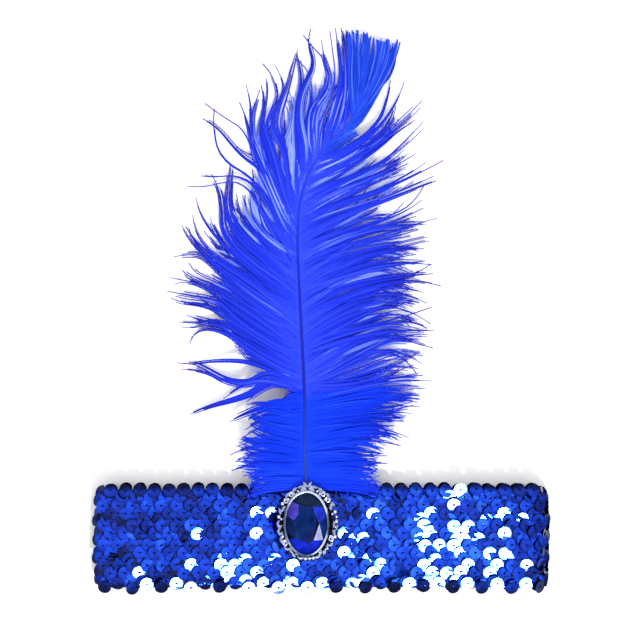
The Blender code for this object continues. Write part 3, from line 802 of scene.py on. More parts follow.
def linear(hexes):
    """An sRGB hex colour as linear light."""
    channels = np.array([int(hexes[i : i + 2], 16) for i in (0, 2, 4)]) / 255.0
    low, high = channels / 12.92, ((channels + 0.055) / 1.055) ** 2.4
    return (*np.where(channels <= 0.04045, low, high), 1.0)


def join(tree, node, links):
    """Joins a node's inputs to other nodes' (node, output)."""
    for key, (source, output) in links.items():
        tree.links.new(source.outputs[output], node.inputs[key])


def add_node(tree, kind, links=None, values=None, stops=(), **settings):
    """A node with its settings and links. A setting of an input's name sets that input, values
    sets inputs by number or name, and stops are a ramp's places and hex colours."""
    node = tree.nodes.new(kind)
    for key, value in (values or {}).items():
        node.inputs[key].default_value = value
    for key, value in settings.items():
        if hasattr(node, key):
            setattr(node, key, value)
        else:
            node.inputs[key.replace("_", " ")].default_value = value
    for _ in stops[2:]:
        node.color_ramp.elements.new(0.5)
    for (place, colour), element in zip(stops, node.color_ramp.elements if stops else ()):
        element.position, element.color = place, linear(colour)
    join(tree, node, links or {})
    return node


def new_material(name, **settings):
    """A Principled material, its shader and its tree."""
    material = bpy.data.materials.new(name)
    material.use_nodes = True
    shader = material.node_tree.nodes["Principled BSDF"]
    for key, value in settings.items():
        shader.inputs[key.replace("_", " ")].default_value = value
    return material, shader, material.node_tree


def sequin_film():
    """Polyester film with a blue lacquer over its aluminium: a deep coloured mirror under thin
    clear plastic, each sequin its own tone, which carries painted shade and painted highlights. It
    is mottled in patches 1.4 mm across, and waves 1.1 mm apart unsettle what it mirrors."""
    material, shader, tree = new_material(
        "sequin_metallised_film", Metallic=0.94, Roughness=0.12, Coat_Weight=0.12,
        Coat_Roughness=0.06, Coat_IOR=1.6,
    )
    place = add_node(tree, "ShaderNodeTexCoord")
    shade = add_node(tree, "ShaderNodeAttribute", attribute_name="shade")
    mottling = add_node(
        tree, "ShaderNodeTexNoise", {"Vector": (place, "Object")}, Scale=0.7 / MM, Detail=3.0
    )
    mottled = add_node(
        tree, "ShaderNodeMath", {0: (mottling, "Fac"), 2: (shade, "Fac")}, {1: 0.7},
        operation="MULTIPLY_ADD",
    )
    scaled = add_node(
        tree, "ShaderNodeMath", {0: (mottled, "Value")}, {1: 0.6}, operation="MULTIPLY"
    )
    colour = add_node(
        tree, "ShaderNodeValToRGB", {"Fac": (scaled, "Value")},
        stops=((0.20, "000A34"), (0.38, "042690"), (0.57, "0A3AC4"), (0.80, "2868F0")),
    )
    ripple = add_node(
        tree, "ShaderNodeTexNoise", {"Vector": (place, "Object")}, Scale=0.9 / MM, Detail=2.0
    )
    waves = add_node(
        tree, "ShaderNodeBump", {"Height": (ripple, "Fac")}, Distance=0.03 * MM, Strength=1.0
    )
    join(tree, shader, {"Base Color": (colour, "Color"), "Normal": (waves, "Normal")})
    return material


def sewing_thread():
    """Navy polyester thread, matt, its twist 0.4 mm long."""
    material, shader, tree = new_material(
        "navy_polyester_thread", Roughness=0.9, Specular_IOR_Level=0.1
    )
    place = add_node(tree, "ShaderNodeTexCoord")
    twist = add_node(
        tree, "ShaderNodeTexNoise", {"Vector": (place, "Object")}, Scale=2.5 / MM, Detail=1.0
    )
    colour = add_node(
        tree, "ShaderNodeValToRGB", {"Fac": (twist, "Fac")},
        stops=((0.3, "020A28"), (0.7, "0A1A50")),
    )
    join(tree, shader, {"Base Color": (colour, "Color")})
    return material


def rib_knit():
    """Stretch nylon rib knit, navy: columns of stitches 1.3 mm apart with rows 1.0 mm apart
    across them, soft and without gloss. Both are drawn three times as coarse, so that they
    show. Its UV map is in metres along and across the band."""
    material, shader, tree = new_material(
        "nylon_rib_knit", Roughness=0.82, Sheen_Weight=0.35, Sheen_Roughness=0.5
    )
    place = add_node(tree, "ShaderNodeTexCoord")
    bands_at_one, coarser = 20.0 / (2 * np.pi), 3.0
    ribs, rows = (
        add_node(
            tree, "ShaderNodeTexWave", {"Vector": (place, "UV")}, wave_type="BANDS",
            bands_direction=direction, Scale=1.0 / (apart * MM * bands_at_one * coarser),
            Distortion=distortion, Detail=1.0,
        )
        for direction, apart, distortion in (("Y", 1.3, 0.6), ("X", 1.0, 1.5))
    )
    stitches = add_node(
        tree, "ShaderNodeMath", {0: (ribs, "Fac"), 1: (rows, "Fac")}, operation="MULTIPLY"
    )
    colour = add_node(
        tree, "ShaderNodeValToRGB", {"Fac": (stitches, "Value")},
        stops=((0.0, "061A66"), (0.6, "1232A8"), (1.0, "2048C8")),
    )
    relief = add_node(
        tree, "ShaderNodeBump", {"Height": (stitches, "Value")}, Distance=0.3 * MM, Strength=1.0
    )
    join(tree, shader, {"Base Color": (colour, "Color"), "Normal": (relief, "Normal")})
    return material


def dyed_barbs(name, *shades):
    """Ostrich barbs dyed royal blue: matt, soaked with dye, with painted light where they leave
    the quill and painted paleness for light through thin ones, and darker and more violet at
    their dry tips."""
    material, shader, tree = new_material(
        name, Roughness=0.85, Specular_IOR_Level=0.04, Sheen_Weight=0.12, Sheen_Roughness=0.5,
        Sheen_Tint=linear("3048FF"),
    )
    shade, tip = (
        add_node(tree, "ShaderNodeAttribute", attribute_name=key) for key in ("shade", "tip")
    )
    colour = add_node(
        tree, "ShaderNodeValToRGB", {"Fac": (shade, "Fac")},
        stops=tuple(zip((0.0, 0.5, 0.75, 1.0), shades)),
    )
    mixed = add_node(
        tree, "ShaderNodeMix", {0: (tip, "Fac"), 6: (colour, "Color")}, {7: linear("22228A")},
        data_type="RGBA",
    )
    join(tree, shader, {"Base Color": (mixed, 2)})
    return material


def quill_horn():
    """Feather shaft, dyed darker than its barbs: smooth horn, greyer towards its root, with a
    grain 0.7 mm wide and 8 mm long."""
    material, shader, tree = new_material(
        "dyed_quill_horn", Roughness=0.5, Specular_IOR_Level=0.15
    )
    place = add_node(tree, "ShaderNodeTexCoord")
    height = add_node(tree, "ShaderNodeAttribute", attribute_name="shade")
    colour = add_node(
        tree, "ShaderNodeValToRGB", {"Fac": (height, "Fac")},
        stops=(
            (0.0, "183E8C"), (0.20, "16349C"), (0.34, "081890"), (0.62, "0A20A4"),
            (0.87, "2434CC"), (0.95, "1238E0"),
        ),
    )
    drawn = add_node(
        tree, "ShaderNodeMapping", {"Vector": (place, "Object")}, Scale=(1.0, 0.08, 1.0)
    )
    grain = add_node(
        tree, "ShaderNodeTexNoise", {"Vector": (drawn, "Vector")}, Scale=1.5 / MM, Detail=3.0
    )
    furrows = add_node(
        tree, "ShaderNodeBump", {"Height": (grain, "Fac")}, Distance=0.08 * MM, Strength=1.0
    )
    join(tree, shader, {"Base Color": (colour, "Color"), "Normal": (furrows, "Normal")})
    return material


def antiqued_silver():
    """Cast zinc with bright silver plate, its recesses blackened and its high places rubbed,
    both uneven in patches 1.1 mm across. Its colours are tinted blue, a painted reflection of
    the blue sequins around it."""
    material, shader, tree = new_material("antiqued_silver_plate", Metallic=1.0)
    place = add_node(tree, "ShaderNodeTexCoord")
    depth = add_node(tree, "ShaderNodeAttribute", attribute_name="depth")
    patina = add_node(
        tree, "ShaderNodeTexNoise", {"Vector": (place, "Object")}, Scale=0.9 / MM, Detail=4.0
    )
    worn = add_node(
        tree, "ShaderNodeMath", {0: (patina, "Fac"), 2: (depth, "Fac")}, {1: 0.5},
        operation="MULTIPLY_ADD",
    )
    # The blue tint of these stops is a painted reflection of the sequins
    colour = add_node(
        tree, "ShaderNodeValToRGB", {"Fac": (worn, "Value")},
        stops=((0.30, "0E1628"), (0.55, "344058"), (0.80, "6E7A98"), (1.0, "C4CCE2")),
    )
    rough = add_node(
        tree, "ShaderNodeMapRange", {"Value": (worn, "Value")},
        {"From Min": 0.40, "From Max": 1.0, "To Min": 0.5, "To Max": 0.16},
    )
    casting = add_node(
        tree, "ShaderNodeBump", {"Height": (patina, "Fac")}, Distance=0.12 * MM, Strength=1.0
    )
    join(tree, shader, {
        "Base Color": (colour, "Color"), "Roughness": (rough, "Result"),
        "Normal": (casting, "Normal"),
    })
    return material


def foiled_glass():
    """Cut glass with a mirror back: every facet is painted with its own blue, the light and shade
    that it shows, clouded in patches 4 mm across, under a hard polish."""
    material, shader, tree = new_material(
        "foiled_cut_glass", Roughness=0.05, Specular_IOR_Level=0.05
    )
    place = add_node(tree, "ShaderNodeTexCoord")
    painted_facet_light = add_node(tree, "ShaderNodeAttribute", attribute_name="painted_facet_light")
    cloud = add_node(
        tree, "ShaderNodeTexNoise", {"Vector": (place, "Object")}, Scale=0.26 / MM, Detail=2.0
    )
    shade = add_node(
        tree, "ShaderNodeValToRGB", {"Fac": (cloud, "Fac")},
        stops=((0.3, "B8B8B8"), (0.7, "FFFFFF")),
    )
    mixed = add_node(
        tree, "ShaderNodeMix", {6: (painted_facet_light, "Color"), 7: (shade, "Color")}, {0: 1.0},
        data_type="RGBA", blend_type="MULTIPLY",
    )
    join(tree, shader, {"Base Color": (mixed, 2)})
    return material


def white_paper():
    """Matt white sweep, slightly uneven over a third of a metre."""
    material, shader, tree = new_material("matt_white_sweep", Roughness=0.9)
    place = add_node(tree, "ShaderNodeTexCoord")
    cloud = add_node(
        tree, "ShaderNodeTexNoise", {"Vector": (place, "Object")}, Scale=0.003 / MM, Detail=2.0
    )
    colour = add_node(
        tree, "ShaderNodeValToRGB", {"Fac": (cloud, "Fac")},
        stops=((0.3, "F3F3F4"), (0.7, "F8F8F8")),
    )
    join(tree, shader, {"Base Color": (colour, "Color")})
    return material


# Band


def loop_table():
    """The inside of the knit along its loop, the front first and towards +X: x, z, the outward
    normal's x and z, and how far round a fold, with the length along it at sequin height."""
    run = np.linspace(-FOLD_X, FOLD_X, LOOP_STEPS[0])
    turn = np.radians(np.linspace(90, -90, LOOP_STEPS[1]))[1:-1]
    share = (np.abs(run) - LEVEL_HALF) / (FOLD_X - LEVEL_HALF)
    hollow = HOLLOW_MIDDLE + (HOLLOW_ENDS - HOLLOW_MIDDLE) * smooth_step(share)
    slope = np.gradient(hollow, run)
    length = np.hypot(slope, 1.0)
    still, level = np.zeros_like(run), np.ones_like(run)
    front = (run, HOLLOW_FLOOR + hollow, -slope / length, 1 / length, still)
    back = (run[::-1], HOLLOW_FLOOR * level, still, -level, still)
    folds = []
    for side, angle in ((1, turn), (-1, turn[::-1])):
        across, up = side * np.cos(angle), np.sin(angle)
        x, z = side * FOLD_X + across * FOLD_RADIUS, HOLLOW_FLOOR + FOLD_RADIUS * (1 + up)
        folds.append((x, z, across, up, np.abs(across)))
    table = np.concatenate([np.array(front), folds[0], np.array(back), folds[1]], axis=1)
    table = np.concatenate([table, table[:, :1]], axis=1)
    out = KNIT_THICKNESS + SEQUIN_LIFT
    path = table[:2] + out * table[2:4]
    length = np.concatenate([[0.0], np.cumsum(np.hypot(*np.diff(path, axis=1)))])
    return length, table


LOOP_LENGTH, LOOP = loop_table()


def on_loop(s, y, out):
    """Points out from the inside of the knit at length s and width y, with the directions
    along the loop and outwards. Near the folds the edges pull in, and the corners with the
    fourth power of the way out to them."""
    s = np.mod(s, LOOP_LENGTH[-1])
    x, z, across, up, fold = (np.interp(s, LOOP_LENGTH, row) for row in LOOP)
    outward = unit(np.stack([across, np.zeros_like(x), up], axis=-1))
    y = y * (1.0 - CORNER_PULL * fold / (BAND_WIDTH / 2))
    inset = CORNER_INSET * fold * np.abs(2 * y / BAND_WIDTH) ** 4
    points = np.stack([x - np.sign(x) * inset, y, z], axis=-1)
    points = points + outward * np.asarray(out)[..., None]
    return points, np.cross(TO_PLUME, outward), outward


def make_knit(material):
    """The loop of rib knit: a thin closed section carried round the loop, its thickness going
    with the root of one less the tenth power of the way out to its edges."""
    steps, across = KNIT_STEPS
    s = np.arange(steps) / steps * LOOP_LENGTH[-1]
    v = np.linspace(-1, 1, across)
    y = np.concatenate([v, v[::-1]]) * KNIT_WIDTH / 2
    middle = KNIT_THICKNESS / 2
    half = (middle - KNIT_SPARE) * np.sqrt(np.clip(1 - v**10, KNIT_THINNEST, 1.0))
    out = np.concatenate([middle - half, (middle + half)[::-1]])
    grid_s, grid_y = np.meshgrid(s, y, indexing="ij")
    points, _, _ = on_loop(grid_s, grid_y, np.broadcast_to(out, grid_s.shape))
    uv = np.stack([grid_s, grid_y], axis=-1).reshape(-1, 2)
    quads = grid_faces(steps, 2 * across, wrap_rows=True)
    shape = {"points": points.reshape(-1, 3), "quads": quads[:, ::-1]}
    knit = add_piece("knit_loop", shape, material, smooth_below=60, uv=uv)
    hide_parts("knit_band")


def half_vectors(points):
    """Directions between the lamp and the camera as seen from points, where a mirror would
    show the lamp."""
    to_lamp = unit(np.array(LAMP_PLACE) - points)
    to_camera = unit(np.array(CAMERA_PLACE) - points)
    return unit(to_lamp + to_camera)


def glint_share(points):
    """How many of the sequins at these points mirror the lamp, from 0 to 1."""
    share = np.zeros(len(points))
    for row in GLINTS:
        facts = dict(zip(GLINT_COLUMNS, row))
        x, y = pixel_xy(facts["x"], facts["y"])
        away = (points[:, 0] - x) / (facts["half_x"] * PIXEL)
        away = np.hypot(away, (points[:, 1] - y) / (facts["half_y"] * PIXEL))
        faded = smooth_step((away - GLINT_FADE[0]) / (GLINT_FADE[1] - GLINT_FADE[0]))
        share = np.maximum(share, facts["share"] * (1 - faded))
    return share


def place_sequins(row, rng):
    """Places of one row's sequins round the whole loop: even steps along a thread that
    zigzags across the row's middle, each a little off by chance. Every second one lies on a
    crest, and at the band's edges their kind moves them out."""
    count = 4 * round(LOOP_LENGTH[-1] / (4 * ZIGZAG_STEP))
    step = LOOP_LENGTH[-1] / count
    i = np.arange(count)
    even = (CREST_X + FOLD_X) % (4 * step) + i * step
    s = even + rng.normal(0, SEQUIN_STRAYS[0], count)
    side = {1: -1.0, ROWS: 1.0}.get(row, 0.0)
    outer, slope = ZIGZAG[i % 4] * side > 0, i % 2 == 1
    crest = np.rint((even - FOLD_X - PROUD_X) / (4 * step)) % 2 == 0
    kinds = np.select(
        [outer & (side > 0), outer & crest, outer, slope & (side != 0)],
        ["upper", "proud", "between", "beside"], "inside",
    )
    edge = dict(zip(EDGE_COLUMNS, np.array([EDGE_SEQUINS[kind] for kind in kinds]).T))
    y = (row - (ROWS + 1) / 2) * ROW_PITCH + ZIGZAG[i % 4] * ZIGZAG_HALF
    y = y + rng.normal(0, SEQUIN_STRAYS[1], count) + side * edge["out"]
    lift = SEQUIN_LIFT + np.where(slope, *CREST_LIFTS) + rng.normal(0, SEQUIN_STRAYS[2], count)
    fold = np.interp(np.mod(s, LOOP_LENGTH[-1]), LOOP_LENGTH, LOOP[4])
    lift = lift + fold * np.where(slope, FOLD_STEP, -FOLD_STEP)
    centres, along, outward = on_loop(s, y, KNIT_THICKNESS + lift)
    ahead = (ZIGZAG[(i + 1) % 4] - ZIGZAG[(i - 1) % 4]) * ZIGZAG_HALF
    return {
        "centres": centres, "outward": outward, "fold": fold, "slope": slope, "side": side,
        "forward": unit(along * (2 * step) + TO_PLUME * ahead[:, None]),
        "between": kinds == "between", **edge,
    }


def face_sequins(placed, rng):
    """Directions that the sequins face, and which of them glint. Each leans forwards along
    the thread and rolls a little by chance, rolls outwards at the band's edges and splays at
    its folds. Glints face half way between lamp and camera, and the rest keep off that."""
    centres, outward, forward = (placed[key] for key in ("centres", "outward", "forward"))
    count, slope, height = len(centres), placed["slope"], outward[:, 2]
    lean = np.tan(np.radians(rng.normal(SHINGLE_TILT, TILT_SPREAD, count)))
    roll = np.tan(np.radians(rng.normal(0, TILT_SPREAD, count)))
    over = placed["side"] * np.tan(np.radians(placed["roll"]))
    aside = np.cross(outward, forward)
    facing = unit(outward + forward * lean[:, None] + aside * roll[:, None])
    facing = unit(facing + over[:, None] * TO_PLUME)
    splay = FOLD_SPLAY * placed["fold"] * slope * (height > UPWARD["splay"])
    facing = unit(facing + splay[:, None] * UP)
    mirror = half_vectors(centres)
    chance = glint_share(centres) * np.where(slope, *GLINT_CHANCES)
    sure = chance >= 1
    chance = np.where(placed["between"] & ~sure, LOWER_EDGE_SHARE, chance)
    chance = np.where(sure, chance, placed["glints"] * chance)
    front = height > UPWARD["glint"]
    glints = front & (rng.random(count) < chance)
    wobble = rng.normal(0, np.radians(GLINT_SPREAD), (count, 3))
    off = facing - mirror * np.sum(facing * mirror, axis=1, keepdims=True)
    apart = np.arcsin(np.clip(np.linalg.norm(off, axis=1), 0, 1))
    least = np.radians(rng.uniform(*GLINT_CLEAR, count))
    away = unit(mirror * np.cos(least)[:, None] + unit(off) * np.sin(least)[:, None])
    near = front & ~glints & (apart < least)
    facing = np.where(near[:, None], away, facing)
    return np.where(glints[:, None], unit(mirror + wobble), facing), glints


def make_sequins(row, film, thread, rng):
    """One row of discs with a hole, and their thread. A disc's back edge lies on the one
    before, and those on the zigzag's crests lie over both neighbours. At the band's edges
    their outer sides bend down with the square of the way out. Each has its own tone, with a
    painted highlight on one side of its cup and painted shade at its rim and where it turns down."""
    placed = place_sequins(row, rng)
    facing, glints = face_sequins(placed, rng)
    centres, height = placed["centres"], placed["outward"][:, 2]
    side = unit(np.cross(facing, placed["forward"]))
    ahead = np.cross(side, facing)
    turn = ring_angles(SEQUIN_SIDES)
    rings = np.array(SEQUIN_RINGS) * MM
    template = np.stack(
        [
            rings[:, :1] * np.cos(turn),
            rings[:, :1] * np.sin(turn),
            np.broadcast_to(rings[:, 1:], (len(rings), SEQUIN_SIDES)),
        ],
        axis=-1,
    ).reshape(-1, 3)
    offsets = np.einsum("kc,ncd->nkd", template, np.stack([ahead, side, facing], axis=1))
    points = centres[:, None] + offsets
    past = np.clip(placed["side"] * offsets[..., 1] / SEQUIN_RADIUS, 0, 1)
    past = past * placed["bend"][:, None] * ~glints[:, None]
    bend = EDGE_BEND * SEQUIN_RADIUS * past**2
    points[..., 2] -= np.where(height[:, None] > UPWARD["bend"], bend, 0.0)
    points = points.reshape(-1, 3)
    points[:, 2] = np.maximum(points[:, 2], SEQUIN_FLOOR)
    discs = grid_faces(len(rings), SEQUIN_SIDES, wrap_rows=True)
    # Painted shade: sequins that turn down at a fold, lie at the band's edges or bend over them
    # are painted darker
    turned = np.clip(1.0 - height, 0, 1) * (height > UPWARD["painted_dark"])
    tone = rng.normal(*SEQUIN_SHADE, len(centres)) - FOLD_SHADE * turned - placed["painted_dark"]
    # Painted light and shade along the band, added to each sequin's tone
    tone = tone + np.interp(centres[:, 0], *zip(*PAINTED_LIGHT_COURSE))
    # A painted highlight on one side of each cup, and painted shade on each rim
    light = np.radians(rng.normal(*CUP_HIGHLIGHT_SIDE, len(centres)))
    light = np.stack([np.cos(light), np.sin(light)], axis=-1)
    cup = np.einsum("nkc,nc->nk", offsets[..., :2], light) / SEQUIN_RADIUS * CUP_PAINTED_HIGHLIGHT
    rim = np.repeat(rings[:, 0] == rings[:, 0].max(), SEQUIN_SIDES) * RIM_SHADE
    shade = tone[:, None] + cup - rim[None] * (1.0 + placed["rim"][:, None])
    shade = shade - EDGE_SHADE * smooth_step(past * EDGE_SHADE_RATE)
    shape = {
        "points": points, "quads": repeated(points, discs, len(template)),
        "values": {"shade": np.clip(shade, 0, 1).ravel()},
    }
    piece = add_piece(f"sequins_row_{row}", shape, film, smooth_below=20)
    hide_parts(f"sequin_row_{row}")
    on, out, thick = np.array(STITCH).T[..., None]
    stitch = centres[:, None] + facing[:, None] * out + ahead[:, None] * on
    stitch[:, :, 2] = np.maximum(stitch[:, :, 2], STITCH_FLOOR)
    thick = np.broadcast_to(thick[:, 0], stitch.shape[:2])
    threads = add_piece(f"stitches_row_{row}", strands(stitch, thick, thick, sides=3), thread)


# Plume


def quill_at(y):
    """Points of the quill at these heights, on smooth curves through its route's own points."""
    route = np.array(QUILL_ROUTE)
    last = len(route) - 2
    i = np.searchsorted(route[1:-1, 1], y, side="right")
    before, start, end, after = (route[np.clip(i + k, 0, last + 1)] for k in (-1, 0, 1, 2))
    t = (y - start[:, 1]) / (end[:, 1] - start[:, 1])
    points = cubic(t, start, end, (end - before) / 2, (after - start) / 2)
    points[:, 1] = y
    return points


def lock_facts(table, roots):
    """Lengths and headings of barbs with these roots: those of the nearest lock, going over
    to the next lock's half way between the two. The change is gradual at the quill and more
    sudden further out, so that the locks part towards their tips."""
    known = np.array([row[0] for row in table])
    facts = np.array([(*row[2], row[1]) for row in table])
    place = np.interp(roots, known, np.arange(len(known)))
    near = np.rint(place)
    off = place - near
    mixed = []
    for column, sharpness in enumerate(LOCK_SHARPNESS):
        at = near + np.sign(off) * 0.5 * np.abs(2 * off) ** sharpness
        mixed.append(np.interp(at, np.arange(len(known)), facts[:, column]))
    mixed = np.stack(mixed, axis=1)
    return mixed[:, 4], mixed[:, :4]


def cut_line(x):
    """How far up the tuft's cut end lies over X."""
    corner = pixel_xy(*CUT_CORNER)
    return corner[1] - CUT_SLOPE * np.maximum(x - corner[0], 0.0)


def droop(paths, roots, lengths, lift):
    """Heights of barbs: from the quill's height at each root they fall to the table in one
    smooth curve, as the solid's locks do, the less the nearer to the brooch and the shorter;
    lift raises their middles. Over the band they stay above its sequins."""
    share = np.linspace(0, 1, paths.shape[1])
    droops = smooth_step((roots - BAND_WIDTH / 2) / DROOP_REACH)
    droops = droops * np.minimum(lengths / LONG_LOCK, 1.0)
    top = quill_at(roots)[:, 2:]
    drop = (top - BARB_FLOOR) * droops[:, None] * smooth_step(share)
    height = top - drop + lift[:, None] * np.sin(np.pi * share) ** 0.7
    on_band = smooth_step((BAND_LEFT_AT - paths[:, :, 1]) / BAND_LEFT_OVER)
    return np.maximum(height, TABLE_CLEARANCE + (BAND_TOP - TABLE_CLEARANCE) * on_band)


def barb_paths(side, roots, lengths, heads, lift):
    """Paths from the quill: each turns through its four headings with smooth steps between
    them."""
    share = np.linspace(0, 1, BARB_STEPS + 1)
    place = (share[1:] + share[:-1]) / 2 * 3
    i = place.astype(int)
    heading = heads[:, i] + (heads[:, i + 1] - heads[:, i]) * smooth_step(place - i)
    turn, step = np.radians(heading), lengths[:, None] / BARB_STEPS
    paths = np.repeat(quill_at(roots)[:, None], BARB_STEPS + 1, axis=1)
    paths[:, 1:, 0] += np.cumsum(side * np.sin(turn) * step, axis=1)
    paths[:, 1:, 1] += np.cumsum(np.cos(turn) * step, axis=1)
    paths[:, :, 2] = droop(paths, roots, lengths, lift)
    return paths


def barbules(paths, count, angle, longest, rng):
    """Fine hairs on both sides of every barb, as slivers of four faces: each starts on the
    barb, leans away from it by the angle and lies nearly level. Towards its tip they are
    shorter."""
    barbs = len(paths)
    share = (np.arange(count) + rng.random((barbs, count))) / count
    place = (BARBULE_PLACES[0] + BARBULE_PLACES[1] * share) * (paths.shape[1] - 1.001)
    i = place.astype(int)
    f = (place - i)[..., None]
    rows = np.arange(barbs)[:, None]
    start, end = paths[rows, i], paths[rows, i + 1]
    root, along = start + (end - start) * f, unit(end - start)
    across = unit(np.cross(along, UP))
    side = np.where((np.arange(count) % 2)[None, :, None] == 0, 1.0, -1.0)
    lean = np.radians(rng.normal(angle, BARBULE_SPREADS[0], (barbs, count)))[..., None]
    heading = along * np.cos(lean) + across * side * np.sin(lean)
    heading[..., 2] += rng.normal(0, BARBULE_SPREADS[1], (barbs, count))
    ragged = rng.uniform(*BARBULE_RAGGED, (barbs, count))
    reach = longest * (1 - BARBULE_SHORTENING * share) * ragged
    tip = root + unit(heading) * reach[..., None]
    wide = BARBULE_WIDTH / 2
    flat = unit(np.cross(unit(heading), UP)) * wide
    points = np.stack([root - flat, root + flat, root + UP * (wide * BARBULE_HEIGHT), tip], axis=2)
    points[..., 2] = np.maximum(points[..., 2], TABLE_CLEARANCE / 2)
    points = points.reshape(-1, 3)
    faces = np.array([(0, 1, 2), (0, 3, 1), (1, 3, 2), (2, 3, 0)])
    return points, repeated(points, faces, 4), share


def fillers(side, table, borders, drift, barb, rng):
    """Flat barbs under the slits between locks: each starts on a border, takes the mean of the
    two locks' courses, lies a little lower and is widest just past its middle. Towards their
    tips they are painted pale, for light through the vane."""
    lengths, heads = lock_facts(table, borders)
    heads = heads + (drift[:-1] + drift[1:]) / 2
    sink = np.full(len(borders), -FILLER_SINK)
    paths = barb_paths(side, borders, lengths * FILLER_REACH, heads, sink)
    share = np.linspace(0, 1, paths.shape[1])
    low, high = FILLER_WIDTHS
    widths = low + (high - low) * np.sin(np.pi * share**1.2)
    widths = np.broadcast_to(widths, paths.shape[:2])
    pale = rng.uniform(*barb["filler"], len(borders))[:, None]
    paler = smooth_step((share - FILLER_PALE[0]) / FILLER_PALE[1])
    tone = MIDDLE_TONE + (pale - MIDDLE_TONE) * paler
    values = {"shade": tone, "tip": np.zeros_like(widths)}
    return strands(paths, widths, widths * FILLER_FLATNESS, values=values)


def dryness(share, barb, ends):
    """How dry barbs are at shares of their length: more and more from one share on."""
    dry_from = barb.get("dry_from", DRY_FROM)
    return barb["tips"] * smooth_step((share - dry_from) / (1 - dry_from)) * ends[:, None]


def feathered(name, paths, barb, tone, ends, material, rng, extra=()):
    """A plume piece of barbs along these paths: a core each, its width falling with the way
    along it to the power 1.6, with its barbules. Tone is each barb's own shade, and ends how
    dry its tip is."""
    share = np.linspace(0, 1, paths.shape[1])
    first, last = barb["widths"]
    widths = last + (first - last) * (1 - share**1.6)
    widths = widths[None] * rng.uniform(*BARB_RAGGED, len(paths))[:, None]
    own = smooth_step((share + OWN_TONE[0]) / OWN_TONE[1])
    # Each barb's foot gets painted light
    shade = MIDDLE_TONE + (tone[:, None] - MIDDLE_TONE) * own + FOOT_LIGHT * (1 - share) ** 3
    values = {"shade": shade, "tip": dryness(share, barb, ends)}
    cores = strands(paths, widths, widths * BARB_FLATNESS, values=values)
    points, faces, along = barbules(paths, barb["barbules"], barb["angle"], barb["hair"], rng)
    lightest, foot, darker = HAIR_TONES
    shade = np.minimum(tone, lightest)[:, None] + foot - darker * along
    dry = BARBULE_DRYNESS * dryness(along, barb, ends)
    values = {"shade": np.repeat(shade.ravel(), 4), "tip": np.repeat(dry.ravel(), 4)}
    hairs = {"points": points, "triangles": faces, "values": values}
    piece = add_piece(name, merged(cores, hairs, *extra), material, smooth_below=80)
    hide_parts("plume")


def make_vane(name, side, word, table, barb, material, rng):
    """Barbs of one stretch of the plume. Neighbours draw together into small locks, whose tips
    drift apart; a few barbs stray by themselves, and none passes the cut."""
    reach = barb["reach"][word]
    table = [row for row in table if reach[0] <= row[0] < reach[1]]
    roots = np.arange(reach[0], reach[1], barb["spacing"])
    roots = roots + rng.uniform(-ROOT_STRAY, ROOT_STRAY, len(roots)) * barb["spacing"]
    count = len(roots)
    borders = reach[0] + np.cumsum(rng.uniform(*barb["lock"], MOST_LOCKS))
    borders = borders[borders < reach[1]]
    lock = np.searchsorted(borders, roots)
    locks = len(borders) + 1
    sizes = np.maximum(np.bincount(lock, minlength=locks), 1)
    middles = np.bincount(lock, weights=roots, minlength=locks) / sizes
    middles = np.where(middles > 0, middles, reach[0])
    drift = rng.normal(0, 1, (locks, 4)) * np.array(barb["drift"])
    spread = rng.normal(0, 1, (count, 4)) * np.array(barb["spread"])
    stray = rng.random(count) < barb["strays"]
    spread[stray] += rng.normal(0, 1, (stray.sum(), 4)) * np.array(STRAY_TURNS)
    lengths, heads = lock_facts(table, roots)
    lock_lengths, lock_heads = lock_facts(table, middles)
    own = rng.uniform(*barb["ragged"], count) * (1 + rng.uniform(*barb["lengths"], locks))[lock]
    own = own * barb["full"][word]
    lift = rng.uniform(-1, 1, locks)[lock] + rng.uniform(-1, 1, count)
    lift = lift * LIFT_SHARE * barb["lift"]
    shares = [lengths * own, lock_lengths[lock] * own]
    turns = [heads + drift[lock] + spread, lock_heads[lock] + drift[lock] + 0.5 * spread]
    starts = [roots, middles[lock]]
    tips = barb_paths(side, roots, shares[0], turns[0], lift)[:, -1]
    rise = np.maximum(tips[:, 1] - roots, CUT_RISE)
    short = (cut_line(tips[:, 0]) - roots) / rise
    short = np.where((rise > CUT_RISE) & (short < 1), short, 1.0)
    notch = rng.uniform(0, CUT_NOTCHES[0], locks)[lock] + rng.uniform(0, CUT_NOTCHES[1], count)
    short = np.clip(short - np.where(short < 1, notch, 0.0), LEAST_CUT, 1.0)
    free, shared = (
        barb_paths(side, start, length * short, turn, lift)
        for start, length, turn in zip(starts, shares, turns)
    )
    share = np.linspace(0, 1, BARB_STEPS + 1)
    drawn = barb["clump"] * smooth_step((share - barb["clump_from"]) / CLUMP_OVER)
    loose = stray | (rng.random(count) < barb["loose"])
    drawn = drawn * np.where(loose, LOOSE_CLUMP, 1.0)[:, None]
    paths = free + (shared - free) * drawn[..., None]
    # Higher barbs are painted lighter and lower ones darker: painted light and shade by height
    differ, painted_lift_light, lightest = BARB_TONES
    tone = MIDDLE_TONE + rng.normal(0, differ, locks)[lock] + rng.normal(0, differ, count)
    tone = np.clip(tone + lift / barb["lift"] * painted_lift_light, 0, lightest)
    # Pale barbs: painted paleness for light through thin barbs
    chance = barb["pale"][word] * smooth_step((roots - PALE_FROM) / PALE_OVER["barb"])
    pale = rng.random(count) < chance
    tone = np.where(pale, rng.uniform(*PALE_TONES["barb"], count), tone)
    under = fillers(side, table, borders, drift, barb, rng)
    dry = rng.uniform(*DRY_TIPS["barb"], count)
    feathered(name, paths, barb, tone, dry, material, rng, (under,))


